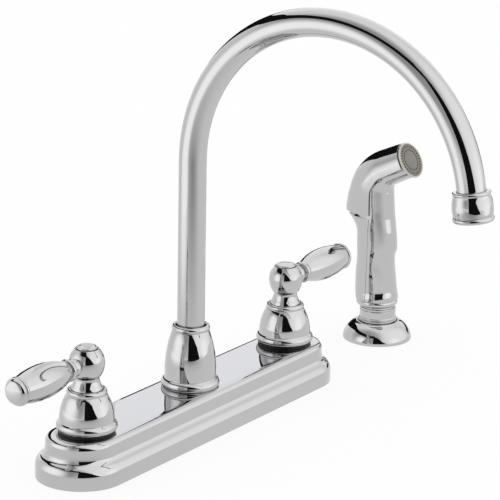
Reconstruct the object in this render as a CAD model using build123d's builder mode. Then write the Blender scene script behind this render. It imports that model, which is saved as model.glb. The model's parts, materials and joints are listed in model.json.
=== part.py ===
from build123d import *
from math import asin, cos, radians, sin
import os

os.makedirs("parts", exist_ok=True)

# A two handle kitchen faucet with a high swivel spout and a side spray.
# Origin: middle of the cover plate's underside, on the spout's axis.
# +Z is up, the spout points to -Y, the hot handle stands at -X, the cold handle and the spray at +X.

# ---- Driving dimensions, millimetres ------------------------------------------------------

# Layout on the sink deck
handle_spacing = 203.2          # hot hole to cold hole, 8 in centres
spray_offset = 212.5            # spout axis to spray axis
deck_thickness = 16.0           # sink deck that the nuts clamp

# Cover plate
plate_height = 25.6
plate_foot_radius = 27.1        # half the width at the foot, and the round ends' radius there
plate_foot_wall = 7.0           # height of the upright foot
plate_waist_radius = 21.4       # upright wall above the cove
plate_waist_low = 16.2
plate_waist_high = 21.5
plate_top_radius = 19.0         # flat top face
plate_end_offset = 4.6          # round end's centre outside the handle axis
plate_wall = 1.8

# Threaded shanks
shank_radius = 10.3             # 1/2 in pipe thread
shank_length = 52.0
shank_bore = 6.5
relief_width = 1.5              # groove below each nut, where the supply's thread starts
relief_gap = 0.5                # nut to groove
shank_relief_depth = 0.9
nipple_radius = 6.6             # spray hose outlet under the middle
nipple_length = 40.0
nipple_bore = 3.5

# Valve bodies and spout hub
body_flange_radius = 15.5
body_flange_height = 4.0
body_radius = 13.0
neck_radius = 11.6
neck_drop = 14.5                # bell's recess floor down to the neck's top
cartridge_radius = 8.55
stem_radius = 4.85
seat_radius = 4.8
hub_radius = 13.5
hub_top = 38.0
cup_radius = 11.05
cup_floor = 16.0
diverter_bore = 6.0
diverter_floor = 4.0
crossover_radius = 4.76         # 3/8 in copper tube
crossover_wall = 0.8
crossover_height = 10.4
socket_depth = 3.0

# Handle bells
bell_seal_height = 2.0
bell_band_radius = 17.95
bell_body_radius = 16.2
bell_shoulder_drop = 18.6       # lever axis down to where the bead starts
bell_shoulder_radius = 11.9
bell_bead_radius = 11.75
bell_bead_section = 1.4
bell_wall = 1.6
bell_recess_radius = 9.75
bell_recess_drop = 16.7         # lever axis down to the recess floor
bell_thread_length = 6.4

# Spout bell
spout_bell_band_radius = 17.7
spout_bell_body_radius = 15.75
spout_bell_top_radius = 11.3
spout_bell_height = 38.7
spout_bell_mouth = 9.2

# Handles
ball_height = 67.2              # lever axis above the deck
ball_radius = 10.5
hub_neck_radius = 7.3
hub_flare_radius = 9.3
index_cap_radius = 6.1
index_cap_height = 2.3
lever_length = 67.5             # handle axis to the end of the lever
lever_start = 20.2
lever_crown = 42.0              # where the lever is thickest
lever_radius = 10.2
lever_start_radius = 5.8
lever_end = 61.3
lever_end_radius = 7.75
lever_cap_radius = 8.5
lever_spigot_radius = 3.0
collar_radius = 6.7
collar_neck_radius = 5.0
collar_start = 16.5

# Spout
spout_radius = 8.36
spout_wall = 1.2
spout_straight_top = 165.2
spout_bend_radius = 95.2
spout_bend_angle = 172.5
spout_foot = 18.0
spout_tail = 7.0                # straight end inside the aerator

# Aerator
aerator_radius = 11.9
aerator_length = 17.4
aerator_bead_radius = 11.9
aerator_top_radius = 11.0
aerator_bore = 9.3
aerator_rise = 1.6              # lip above the end of the bend

# Side spray holder
holder_radius = 22.7
holder_height = 12.2
holder_lip_radius = 13.9
holder_shank_radius = 14.2
holder_shank_length = 38.0
holder_wall = 1.6
holder_relief_depth = 0.7
holder_nut_wall = 5.0
holder_nut_height = 7.0
liner_wall = 0.6

# Side spray
grip_bottom = 27.3
spray_neck_radius = 11.6
spray_tail = 14.0               # coupling below the deck
spray_collar_radius = 13.9
head_tilt = 28.0                # degrees above level
head_radius = 10.9
head_length = 20.3
head_bend_radius = 16.2
valve_height = 92.0             # the spray valve's plunger, under the thumb lever
bend_rise = 9.2                 # plunger up to where the bend starts
ledge_drop = 8.8                # plunger down to the top of the rear cover
grip_axis = 4.2                 # bend's start, behind the holder's axis
core_width = 11.4               # half width of the grip under the thumb lever
core_reach = 12.1               # its reach to the front and the back
plunger_reach = 18.2            # grip's middle to the plunger's tip
nozzle_radius = 11.95
face_radius = 10.6
nozzle_slots = 26
trigger_lift = 2.2              # rear cover's top to the lowest edge of the thumb lever
trigger_wall = 1.1
pin_reach = 12.2                # spray's middle to the end of the lever's pins

# Clearances
fit_gap = 0.05                  # pieces that are screwed or pushed together
running_gap = 0.10              # turning and sliding fits, on the radius
free_gap = 0.35                 # moving pieces that only pass each other

# ---- Places worked out from the driving dimensions ----------------------------------------

handle_x = handle_spacing / 2
plate_end_x = handle_x + plate_end_offset
bell_foot = plate_height + bell_seal_height
bell_shoulder = ball_height - bell_shoulder_drop
bell_floor = ball_height - bell_recess_drop
neck_top = bell_floor - neck_drop
grip_top = valve_height + bend_rise
ledge_height = valve_height - ledge_drop
trigger_foot = ledge_height + trigger_lift
outlet_angle = radians(spout_bend_angle)
bend_end_y = -spout_bend_radius * (1 - cos(outlet_angle))
bend_end_z = spout_straight_top + spout_bend_radius * sin(outlet_angle)
outlet_down = Vector(0, -sin(outlet_angle), cos(outlet_angle))
outlet_plane = Plane(
    origin=(0, bend_end_y, bend_end_z),
    x_dir=(1, 0, 0),
    z_dir=outlet_down,
)
spray_axis = Axis((spray_offset, 0, 0), (0, 0, 1))


def section_plane(x, z=0.0):
    """Upright plane through a turned piece's axis: local x is the radius, local y the height."""
    return Plane(origin=(x, 0, z), x_dir=(1, 0, 0), z_dir=(0, -1, 0))


def upright(x):
    """Upright axis of the pieces that stand at x."""
    return Axis((x, 0, 0), (0, 0, 1))


def finish(piece, name):
    """Name the piece and write its file."""
    piece.part.label = name
    export_step(piece.part, f"parts/{name}.step")


def crown_point(edge_radius, rise):
    """Point half way up a dome's section: its radius, and its height over the dome's edge."""
    dome_radius = (edge_radius ** 2 + rise ** 2) / (2 * rise)
    half = asin(edge_radius / dome_radius) / 2
    return dome_radius * sin(half), rise - dome_radius * (1 - cos(half))


def turned(x, *outline):
    """A piece turned about the upright axis at x, from (radius, height) points."""
    with BuildPart() as piece:
        with BuildSketch(section_plane(x)):
            with BuildLine():
                Polyline(*outline, close=True)
            make_face()
        revolve(axis=upright(x))
    return piece


# ---- Cover plate ---------------------------------------------------------------------------


def plate_half_section(inset):
    """Half of the plate's cross-section, drawn in from the outside by inset."""
    foot = plate_foot_radius - inset
    waist = plate_waist_radius - inset
    top = plate_top_radius - inset
    height = plate_height - inset
    shoulder = (foot - 0.54 * (foot - waist), plate_foot_wall + 6.0 - inset)
    with BuildSketch() as section:
        with BuildLine():
            Line((0, 0), (foot, 0))
            foot_line = Line((foot, 0), (foot, plate_foot_wall - inset / 2))
            round_over = TangentArc(foot_line @ 1, shoulder, tangent=(0, 1))
            ThreePointArc(
                round_over @ 1,
                (shoulder[0] - 1.55, shoulder[1] + 1.25),
                (waist + 0.2, plate_waist_low - inset),
            )
            Line((waist + 0.2, plate_waist_low - inset), (waist - 0.3, plate_waist_high - inset))
            ThreePointArc(
                (waist - 0.3, plate_waist_high - inset),
                (top + 1.65, height - 1.75),
                (top, height),
            )
            Line((top, height), (0, height))
            Line((0, height), (0, 0))
        make_face()
    return section.sketch


def plate_solid(inset):
    """The plate's outside, or its hollow, as one solid: a straight run and two round ends."""
    half = plate_half_section(inset)
    with BuildPart() as solid:
        with BuildSketch(Plane.YZ) as run:
            add(half)
            mirror(about=Plane.YZ)
        extrude(amount=plate_end_x, both=True)
        for end, away in ((-plate_end_x, 1), (plate_end_x, -1)):
            with BuildSketch(Plane(origin=(end, 0, 0), x_dir=(0, away, 0), z_dir=(away, 0, 0))):
                add(half)
            revolve(axis=upright(end), revolution_arc=180)
    return solid.part


plate_outside = plate_solid(0)
plate_hollow = plate_solid(plate_wall)
plate_hole_radius = neck_radius + 1.0
hub_hole_radius = hub_radius + 0.7

with BuildPart() as deck_plate:
    add(plate_outside)
    add(plate_hollow, mode=Mode.SUBTRACT)
    with BuildSketch(Plane.XY.offset(plate_height + 1)):
        with Locations((-handle_x, 0), (handle_x, 0)):
            Circle(plate_hole_radius)
        Circle(hub_hole_radius)
    extrude(amount=-(plate_wall + 2), mode=Mode.SUBTRACT)
finish(deck_plate, "deck_plate")

gasket_height = 3.0
gasket_radius = plate_foot_radius - plate_wall - fit_gap
with BuildPart() as deck_gasket:
    with BuildSketch():
        SlotCenterToCenter(2 * plate_end_x, 2 * gasket_radius)
        SlotCenterToCenter(2 * plate_end_x, 2 * (gasket_radius - 4), mode=Mode.SUBTRACT)
    extrude(amount=gasket_height)
finish(deck_gasket, "deck_gasket")

# ---- Waterway under the plate --------------------------------------------------------------

washer_thickness = 2.0
nut_height = 9.0
nut_radius = 19.0
nut_foot = -(deck_thickness + washer_thickness + nut_height)
shank_relief_top = nut_foot - relief_gap
shank_relief_foot = shank_relief_top - relief_width
seat_pocket_floor = 0.0
cartridge_foot = 6.5
bonnet_foot = neck_top - 6.5
bonnet_radius = 9.55


def valve_body(x):
    """Brass valve body with its threaded shank, and a socket for the crossover tube."""
    toward_middle = -1 if x > 0 else 1
    with BuildPart() as body:
        with BuildSketch(section_plane(x)):
            with BuildLine():
                Polyline(
                    (shank_bore, -shank_length),
                    (shank_radius, -shank_length),
                    (shank_radius, shank_relief_foot),
                    (shank_radius - shank_relief_depth, shank_relief_foot),
                    (shank_radius - shank_relief_depth, shank_relief_top),
                    (shank_radius, shank_relief_top),
                    (shank_radius, 0),
                    (body_flange_radius, 0),
                    (body_flange_radius, body_flange_height),
                    (body_radius, body_flange_height),
                    (body_radius, plate_height - plate_wall - 1.5),
                    (neck_radius, plate_height - plate_wall - 1.5),
                    (neck_radius, neck_top),
                    (bonnet_radius + fit_gap, neck_top),
                    (bonnet_radius + fit_gap, bonnet_foot),
                    (cartridge_radius + fit_gap, bonnet_foot),
                    (cartridge_radius + fit_gap, cartridge_foot),
                    (seat_radius + fit_gap, cartridge_foot),
                    (seat_radius + fit_gap, seat_pocket_floor),
                    (seat_radius - 1.8, seat_pocket_floor),
                    (seat_radius - 1.8, -3),
                    (shank_bore, -5),
                    close=True,
                )
            make_face()
        revolve(axis=upright(x))
        chamfer(body.edges().filter_by(GeomType.CIRCLE).group_by(Axis.Z)[0].sort_by(SortBy.RADIUS)[-1], 1)
        port_plane = Plane(
            origin=(x + toward_middle * body_radius, 0, crossover_height),
            x_dir=(0, 1, 0),
            z_dir=(-toward_middle, 0, 0),
        )
        with BuildSketch(port_plane.offset(-3)):
            Circle(crossover_radius + fit_gap)
        extrude(amount=3 + socket_depth, mode=Mode.SUBTRACT)
        with BuildSketch(port_plane):
            Circle(crossover_radius - crossover_wall)
        extrude(amount=body_radius, mode=Mode.SUBTRACT)
    return body


def crossover_tube(side):
    """Copper tube from a valve body to the spout hub."""
    start = hub_radius - socket_depth
    run = handle_x - body_radius + socket_depth - start
    tube_plane = Plane(origin=(side * start, 0, crossover_height), x_dir=(0, 1, 0), z_dir=(side, 0, 0))
    with BuildPart() as tube:
        with BuildSketch(tube_plane):
            Circle(crossover_radius)
            Circle(crossover_radius - crossover_wall, mode=Mode.SUBTRACT)
        extrude(amount=run)
    return tube


with BuildPart() as spout_hub:
    with BuildSketch(section_plane(0)):
        with BuildLine():
            Polyline(
                (nipple_bore, -nipple_length),
                (nipple_radius, -nipple_length),
                (nipple_radius, 0),
                (body_flange_radius, 0),
                (body_flange_radius, body_flange_height),
                (hub_radius, body_flange_height),
                (hub_radius, hub_top),
                (cup_radius, hub_top),
                (cup_radius, cup_floor),
                (diverter_bore, cup_floor),
                (diverter_bore, diverter_floor),
                (nipple_bore, diverter_floor),
                close=True,
            )
        make_face()
    revolve(axis=Axis.Z)
    for side in (-1, 1):
        port = Plane(origin=(side * hub_radius, 0, crossover_height), x_dir=(0, 1, 0), z_dir=(-side, 0, 0))
        with BuildSketch(port.offset(-3)):
            Circle(crossover_radius + fit_gap)
        extrude(amount=3 + socket_depth, mode=Mode.SUBTRACT)
        with BuildSketch(port):
            Circle(crossover_radius - crossover_wall)
        extrude(amount=hub_radius, mode=Mode.SUBTRACT)
finish(spout_hub, "spout_hub")

# Nuts and washers that clamp the shanks under the deck
with BuildPart() as mounting_washers:
    with BuildSketch(Plane.XY.offset(-deck_thickness)):
        with Locations((-handle_x, 0), (handle_x, 0)):
            Circle(nut_radius + 1)
            Circle(shank_radius + 0.4, mode=Mode.SUBTRACT)
    extrude(amount=-washer_thickness)
finish(mounting_washers, "mounting_washers")

with BuildPart() as mounting_nuts:
    with BuildSketch(Plane.XY.offset(-deck_thickness - washer_thickness)):
        with Locations((-handle_x, 0), (handle_x, 0)):
            RegularPolygon(nut_radius, 6)
            Circle(shank_radius + fit_gap, mode=Mode.SUBTRACT)
    extrude(amount=-nut_height)
    chamfer(mounting_nuts.edges().filter_by(GeomType.LINE).group_by(Axis.Z)[0], 0.8)
finish(mounting_nuts, "mounting_nuts")

# ---- Handle valves, bells and handles, the same on both sides ------------------------------

bonnet_top = neck_top + 4.6
stem_foot = bonnet_foot - 9.0
stem_top = ball_height - 1.2
screw_radius = 1.9
screw_head_radius = 3.6
screw_seat = ball_height + 3.0
ball_top = ball_height + 9.0
cap_recess = 1.0


def cartridge(x):
    """Valve cartridge: it holds the stem, and water passes through its foot and its side."""
    with BuildPart() as piece:
        with BuildSketch(section_plane(x)):
            with BuildLine():
                Polyline(
                    (0, cartridge_foot),
                    (cartridge_radius, cartridge_foot),
                    (cartridge_radius, bonnet_foot),
                    (stem_radius + running_gap, bonnet_foot),
                    (stem_radius + running_gap, stem_foot - 0.4),
                    (0, stem_foot - 0.4),
                    close=True,
                )
            make_face()
        revolve(axis=upright(x))
        with Locations((x + 2.6, 0, cartridge_foot)):
            Cylinder(1.2, 9, align=(Align.CENTER, Align.CENTER, Align.MIN), mode=Mode.SUBTRACT)
        with Locations(Plane(origin=(x + 2.6, 0, cartridge_foot + 7.8), z_dir=(1, 0, 0))):
            Cylinder(1.2, cartridge_radius, align=(Align.CENTER, Align.CENTER, Align.MIN), mode=Mode.SUBTRACT)
    return piece


def bonnet_nut(x):
    """Hexagonal nut that holds the cartridge down in the valve body."""
    with BuildPart() as piece:
        with BuildSketch(Plane.XY.offset(bonnet_foot)):
            with Locations((x, 0)):
                Circle(bonnet_radius)
        extrude(amount=neck_top - bonnet_foot)
        with BuildSketch(Plane.XY.offset(neck_top)):
            with Locations((x, 0)):
                RegularPolygon(bonnet_radius + 2, 6)
        extrude(amount=bonnet_top - neck_top)
        with BuildSketch(Plane.XY.offset(bonnet_foot)):
            with Locations((x, 0)):
                Circle(stem_radius + running_gap)
        extrude(amount=bonnet_top - bonnet_foot, mode=Mode.SUBTRACT)
    return piece


spring_wire = 0.45
spring_coil = seat_radius - 1.0
spring_height = 4.0
seat_height = cartridge_foot - seat_pocket_floor - spring_height


def seat_spring(x):
    """Coil spring that pushes the seat up against the cartridge."""
    turns = 3
    rise = spring_height - 2 * spring_wire
    foot = seat_pocket_floor + spring_wire
    coil = Helix(pitch=rise / turns, height=rise, radius=spring_coil, center=(x, 0, foot))
    with BuildPart() as piece:
        with BuildSketch(Plane(origin=coil @ 0, z_dir=coil % 0)):
            Circle(spring_wire)
        sweep(path=coil, is_frenet=True)
    return piece


def bell(x):
    """Bell that screws onto the valve body and hides it; the handle's neck turns in its top."""
    thread = neck_radius + fit_gap
    thread_top = bell_foot + bell_thread_length
    waist = bell_foot + 5.0
    waist_rise = bell_shoulder - waist
    with BuildPart() as piece:
        with BuildSketch(section_plane(x)):
            with BuildLine():
                Line((thread, bell_foot), (bell_band_radius - 1.0, bell_foot))
                ThreePointArc(
                    (bell_band_radius - 1.0, bell_foot),
                    (bell_band_radius, bell_foot + 2.3),
                    (bell_body_radius + 0.4, bell_foot + 4.7),
                )
                Line((bell_body_radius + 0.4, bell_foot + 4.7), (bell_body_radius, waist))
                ThreePointArc(
                    (bell_body_radius, waist),
                    (bell_shoulder_radius + 3.2, waist + 0.525 * waist_rise),
                    (bell_shoulder_radius, bell_shoulder),
                )
                ThreePointArc(
                    (bell_shoulder_radius, bell_shoulder),
                    (bell_bead_radius + 0.05, bell_shoulder + 2.0),
                    (bell_bead_radius - bell_bead_section, bell_shoulder + 2.0 + bell_bead_section),
                )
                Polyline(
                    (bell_bead_radius - bell_bead_section, bell_shoulder + 2.0 + bell_bead_section),
                    (bell_recess_radius, bell_shoulder + 2.8),
                    (bell_recess_radius, bell_floor),
                    (stem_radius + 1.2, bell_floor),
                    (stem_radius + 1.2, bell_floor - bell_wall),
                    (bell_shoulder_radius - bell_wall, bell_floor - bell_wall - 0.6),
                )
                ThreePointArc(
                    (bell_shoulder_radius - bell_wall, bell_floor - bell_wall - 0.6),
                    (bell_shoulder_radius + 3.2 - bell_wall, waist + 0.5 * waist_rise),
                    (bell_body_radius - bell_wall, thread_top + 2.0),
                )
                Polyline(
                    (bell_body_radius - bell_wall, thread_top + 2.0),
                    (thread, thread_top),
                    (thread, bell_foot),
                )
            make_face()
        revolve(axis=upright(x))
    return piece


def handle_hub(x, out):
    """Ball on a flared neck, bored for the stem, the screw, the cap and the lever."""
    with BuildPart() as piece:
        with BuildSketch(section_plane(x)):
            with BuildLine():
                Polyline(
                    (0, bell_floor + free_gap),
                    (hub_flare_radius, bell_floor + free_gap),
                    (hub_flare_radius, bell_floor + 2.2),
                )
                ThreePointArc(
                    (hub_flare_radius, bell_floor + 2.2),
                    (hub_neck_radius + 0.75, bell_floor + 4.6),
                    (hub_neck_radius, ball_height - 9.2),
                )
                Line((hub_neck_radius, ball_height - 9.2), (hub_neck_radius + 0.1, ball_height - 8.6))
                round_side = ThreePointArc(
                    (hub_neck_radius + 0.1, ball_height - 8.6),
                    (ball_radius, ball_height),
                    (ball_radius - 1.0, ball_height + 5.2),
                )
                TangentArc(
                    round_side @ 1,
                    (index_cap_radius + 0.8, ball_top),
                    tangent=round_side % 1,
                )
                Line((index_cap_radius + 0.8, ball_top), (0, ball_top))
                Line((0, ball_top), (0, bell_floor + free_gap))
            make_face()
        revolve(axis=upright(x))
        for radius, low, high in (
            (stem_radius + fit_gap, bell_floor, stem_top + 0.4),
            (screw_radius + 0.2, stem_top, ball_top),
            (screw_head_radius + 0.2, screw_seat, ball_top + 1),
            (index_cap_radius + 0.3, ball_top - cap_recess, ball_top + 1),
        ):
            with BuildSketch(Plane.XY.offset(low)):
                with Locations((x, 0)):
                    Circle(radius)
            extrude(amount=high - low, mode=Mode.SUBTRACT)
        socket = Plane(origin=(x, 0, ball_height), x_dir=(0, 1, 0), z_dir=(out, 0, 0))
        with BuildSketch(socket.offset(stem_radius + 1.7)):
            Circle(collar_neck_radius)
        extrude(amount=ball_radius, mode=Mode.SUBTRACT)
    return piece


def lever_section(x, out):
    """Plane through the lever's axis: local x runs out along the lever, local y is the radius."""
    return Plane(origin=(x, 0, ball_height), x_dir=(out, 0, 0), z_dir=(0, -out, 0))


def lever_axis(x):
    """Level axis of the lever."""
    return Axis((x, 0, ball_height), (1, 0, 0))


def lever_collar(x, out):
    """Short neck and bead between the ball and the lever."""
    inner = lever_spigot_radius + fit_gap
    bead_end = lever_start - 0.5
    bead_middle = (collar_start + bead_end) / 2
    with BuildPart() as piece:
        with BuildSketch(lever_section(x, out)):
            with BuildLine():
                Polyline(
                    (bead_end, collar_radius - 0.9),
                    (bead_end, inner),
                    (stem_radius + 1.7, inner),
                    (stem_radius + 1.7, collar_neck_radius),
                    (10.4, collar_neck_radius),
                    (10.8, collar_neck_radius + 0.35),
                    (11.9, collar_neck_radius + 0.35),
                    (12.3, collar_neck_radius),
                    (collar_start, collar_neck_radius),
                    (collar_start, collar_radius - 0.9),
                )
                ThreePointArc(
                    (collar_start, collar_radius - 0.9),
                    (bead_middle, collar_radius),
                    (bead_end, collar_radius - 0.9),
                )
            make_face()
        revolve(axis=lever_axis(x))
    return piece


def lever(x, out):
    """Lever that swells to its crown, with a spigot that screws into the ball."""
    spigot = lever_spigot_radius
    with BuildPart() as piece:
        with BuildSketch(lever_section(x, out)):
            with BuildLine():
                Polyline(
                    (stem_radius + 1.7, 0),
                    (stem_radius + 1.7, spigot),
                    (lever_start - 0.5, spigot),
                    (lever_start - 0.5, lever_start_radius - 0.9),
                    (lever_start, lever_start_radius - 0.9),
                    (lever_start, lever_start_radius),
                )
                TangentArc(
                    (lever_crown, lever_radius),
                    (lever_start, lever_start_radius),
                    tangent=(-1, 0),
                )
                TangentArc(
                    (lever_crown, lever_radius),
                    (lever_end, lever_end_radius),
                    tangent=(1, 0),
                )
                Polyline(
                    (lever_end, lever_end_radius),
                    (lever_end, lever_spigot_radius + 1 + fit_gap),
                    (lever_end - 5, lever_spigot_radius + 1 + fit_gap),
                    (lever_end - 5, 0),
                    (stem_radius + 1.7, 0),
                )
            make_face()
        revolve(axis=lever_axis(x))
    return piece


def lever_cap(x, out):
    """Beaded and domed cap on the end of the lever."""
    bead_end = lever_end + 2.4
    dome_edge = lever_cap_radius - 0.4
    crown_radius, crown_rise = crown_point(dome_edge, lever_length - bead_end)
    with BuildPart() as piece:
        with BuildSketch(lever_section(x, out)):
            with BuildLine():
                Polyline(
                    (lever_end - 4.6, 0),
                    (lever_end - 4.6, lever_spigot_radius + 1),
                    (lever_end, lever_spigot_radius + 1),
                    (lever_end, lever_end_radius),
                    (lever_end + 0.3, lever_cap_radius - 0.5),
                )
                ThreePointArc(
                    (lever_end + 0.3, lever_cap_radius - 0.5),
                    (lever_end + 1.3, lever_cap_radius),
                    (bead_end, dome_edge),
                )
                ThreePointArc(
                    (bead_end, dome_edge),
                    (bead_end + crown_rise, crown_radius),
                    (lever_length, 0),
                )
                Line((lever_length, 0), (lever_end - 4.6, 0))
            make_face()
        revolve(axis=lever_axis(x))
    return piece


def index_cap(x):
    """Low domed cap over the handle screw."""
    cap_foot = ball_top - cap_recess
    cap_edge = ball_top + index_cap_height - 0.9
    crown_radius, crown_rise = crown_point(index_cap_radius - 0.5, 0.9)
    with BuildPart() as piece:
        with BuildSketch(section_plane(x)):
            with BuildLine():
                Polyline(
                    (0, cap_foot - 1.2),
                    (screw_head_radius + 0.1, cap_foot - 1.2),
                    (screw_head_radius + 0.1, cap_foot),
                    (index_cap_radius, cap_foot),
                    (index_cap_radius, cap_edge - 0.4),
                    (index_cap_radius - 0.5, cap_edge),
                )
                ThreePointArc(
                    (index_cap_radius - 0.5, cap_edge),
                    (crown_radius, cap_edge + crown_rise),
                    (0, ball_top + index_cap_height),
                )
                Line((0, ball_top + index_cap_height), (0, cap_foot - 1.2))
            make_face()
        revolve(axis=upright(x))
    return piece


def handle_screw(x):
    """Screw that holds the handle down on the stem."""
    head_top = screw_seat + 2.4
    screw_tip = stem_top - 7
    piece = turned(
        x,
        (0, screw_tip),
        (screw_radius, screw_tip),
        (screw_radius, screw_seat),
        (screw_head_radius, screw_seat),
        (screw_head_radius, head_top),
        (1.2, head_top),
        (1.2, head_top - 1.4),
        (0, head_top - 1.4),
    )
    return piece


def stem(x):
    """Valve stem: the cartridge turns about it, and the handle's ball is fixed to its top."""
    piece = turned(
        x,
        (0, stem_foot),
        (stem_radius, stem_foot),
        (stem_radius, stem_top - 0.5),
        (stem_radius - 0.5, stem_top),
        (screw_radius + fit_gap, stem_top),
        (screw_radius + fit_gap, stem_top - 7.4),
        (0, stem_top - 7.4),
    )
    return piece


for side_name, out in (("hot", -1), ("cold", 1)):
    axis_x = out * handle_x
    finish(valve_body(axis_x), f"{side_name}_valve_body")
    finish(crossover_tube(out), f"{side_name}_crossover_tube")
    finish(cartridge(axis_x), f"{side_name}_cartridge")
    finish(bonnet_nut(axis_x), f"{side_name}_bonnet_nut")
    finish(seat_spring(axis_x), f"{side_name}_seat_spring")
    seat = turned(
        axis_x,
        (1.8, cartridge_foot - seat_height),
        (seat_radius, cartridge_foot - seat_height),
        (seat_radius, cartridge_foot),
        (1.8, cartridge_foot),
    )
    finish(seat, f"{side_name}_seat")
    seal = turned(
        axis_x,
        (neck_radius + fit_gap, plate_height),
        (bell_band_radius - 1.3, plate_height),
        (bell_band_radius - 1.3, bell_foot),
        (neck_radius + fit_gap, bell_foot),
    )
    finish(seal, f"{side_name}_bell_seal")
    finish(bell(axis_x), f"{side_name}_bell")
    finish(stem(axis_x), f"{side_name}_stem")
    finish(handle_screw(axis_x), f"{side_name}_handle_screw")
    finish(handle_hub(axis_x, out), f"{side_name}_handle_hub")
    finish(index_cap(axis_x), f"{side_name}_index_cap")
    finish(lever_collar(axis_x, out), f"{side_name}_lever_collar")
    finish(lever(axis_x, out), f"{side_name}_lever")
    finish(lever_cap(axis_x, out), f"{side_name}_lever_cap")

# ---- Spout and its bell --------------------------------------------------------------------

swivel_ring_top = hub_top + 1.0
collar_flange_low = swivel_ring_top + running_gap
collar_flange_top = collar_flange_low + 1.8
bell_ledge = collar_flange_top + 0.3
spout_bell_top = plate_height + spout_bell_height

swivel_ring = turned(
    0,
    (cup_radius + 0.2, hub_top),
    (hub_radius - 0.2, hub_top),
    (hub_radius - 0.2, swivel_ring_top),
    (cup_radius + 0.2, swivel_ring_top),
)
finish(swivel_ring, "swivel_ring")

collar_outer = cup_radius - running_gap
ring_groove = 1.6
ring_width = 2.0
spout_collar_foot = cup_floor + 0.6
ring_heights = (22.0, 29.0)
with BuildPart() as spout_collar:
    with BuildSketch(section_plane(0)):
        with BuildLine():
            Polyline(
                (spout_radius - spout_wall, spout_collar_foot),
                (collar_outer, spout_collar_foot),
                (collar_outer, collar_flange_low),
                (hub_radius - 0.9, collar_flange_low),
                (hub_radius - 0.9, collar_flange_top),
                (spout_radius, collar_flange_top),
                (spout_radius, spout_foot),
                (spout_radius - spout_wall, spout_foot),
                close=True,
            )
        make_face()
        for height in ring_heights:
            with Locations((collar_outer, height)):
                Rectangle(2 * ring_groove, ring_width, mode=Mode.SUBTRACT)
    revolve(axis=Axis.Z)
finish(spout_collar, "spout_collar")

ring_section = (ring_groove + running_gap / 2) / 2
with BuildPart() as spout_o_rings:
    with BuildSketch(section_plane(0)):
        for height in ring_heights:
            with Locations((collar_outer - ring_groove + ring_section, height)):
                Circle(ring_section)
    revolve(axis=Axis.Z)
finish(spout_o_rings, "spout_o_rings")

with BuildPart() as spout_tube:
    with BuildLine() as spout_path:
        riser = Line((0, 0, spout_foot), (0, 0, spout_straight_top))
        bend = ThreePointArc(
            riser @ 1,
            (
                0,
                -spout_bend_radius * (1 - cos(outlet_angle / 2)),
                spout_straight_top + spout_bend_radius * sin(outlet_angle / 2),
            ),
            (0, bend_end_y, bend_end_z),
        )
        Line(bend @ 1, (bend @ 1) + outlet_down * spout_tail)
    with BuildSketch(Plane.XY.offset(spout_foot)):
        Circle(spout_radius)
        Circle(spout_radius - spout_wall, mode=Mode.SUBTRACT)
    sweep(path=spout_path.wires()[0])
finish(spout_tube, "spout_tube")

with BuildPart() as spout_bell:
    with BuildSketch(section_plane(0)):
        thread = hub_radius + fit_gap
        with BuildLine():
            Line((thread, plate_height), (spout_bell_band_radius - 0.9, plate_height))
            ThreePointArc(
                (spout_bell_band_radius - 0.9, plate_height),
                (spout_bell_band_radius, plate_height + 2.8),
                (spout_bell_body_radius + 0.2, plate_height + 5.2),
            )
            Line(
                (spout_bell_body_radius + 0.2, plate_height + 5.2),
                (spout_bell_body_radius - 0.1, plate_height + 5.6),
            )
            ThreePointArc(
                (spout_bell_body_radius - 0.1, plate_height + 5.6),
                (spout_bell_body_radius - 0.9, plate_height + 20.5),
                (spout_bell_top_radius, spout_bell_top - 3.7),
            )
            ThreePointArc(
                (spout_bell_top_radius, spout_bell_top - 3.7),
                (spout_bell_top_radius + 0.15, spout_bell_top - 1.2),
                (spout_bell_top_radius - 1.3, spout_bell_top),
            )
            Polyline(
                (spout_bell_top_radius - 1.3, spout_bell_top),
                (spout_bell_mouth, spout_bell_top - 0.7),
                (spout_bell_mouth, spout_bell_top - 4.4),
                (spout_bell_top_radius - bell_wall + 0.1, spout_bell_top - 4.8),
            )
            ThreePointArc(
                (spout_bell_top_radius - bell_wall + 0.1, spout_bell_top - 4.8),
                (spout_bell_body_radius - bell_wall - 0.9, plate_height + 25.0),
                (spout_bell_body_radius - bell_wall - 0.4, bell_ledge + 2.0),
            )
            Polyline(
                (spout_bell_body_radius - bell_wall - 0.4, bell_ledge + 2.0),
                (spout_bell_mouth, bell_ledge + 2.0),
                (spout_bell_mouth, bell_ledge),
                (thread, bell_ledge),
                (thread, plate_height),
            )
        make_face()
    revolve(axis=Axis.Z)
finish(spout_bell, "spout_bell")

# Diverter: it sends the water to the spray when the spray is open
diverter_height = 9.6
plunger_radius = 2.4
diverter_top = diverter_floor + diverter_height
diverter_body = turned(
    0,
    (plunger_radius + running_gap, diverter_floor + 1.2),
    (plunger_radius + running_gap + 1.2, diverter_floor),
    (diverter_bore - fit_gap, diverter_floor),
    (diverter_bore - fit_gap, diverter_floor + 1.4),
    (diverter_bore - 2.2, diverter_floor + 1.4),
    (diverter_bore - 2.2, diverter_top - 1.0),
    (diverter_bore - fit_gap, diverter_top - 1.0),
    (diverter_bore - fit_gap, diverter_top),
    (plunger_radius + running_gap, diverter_top),
)
finish(diverter_body, "diverter_body")

plunger_head_low = diverter_top + 0.3
diverter_plunger = turned(
    0,
    (0, diverter_floor + 1.6),
    (plunger_radius, diverter_floor + 1.6),
    (plunger_radius, plunger_head_low),
    (diverter_bore - 0.8, plunger_head_low),
    (diverter_bore - 0.8, plunger_head_low + 1.0),
    (0, plunger_head_low + 1.0),
)
finish(diverter_plunger, "diverter_plunger")

# ---- Aerator -------------------------------------------------------------------------------

outlet_axis = Axis(outlet_plane.origin, outlet_plane.z_dir)
ferrule_radius = aerator_top_radius - 0.7
ferrule_length = spout_tail - 0.5


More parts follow.
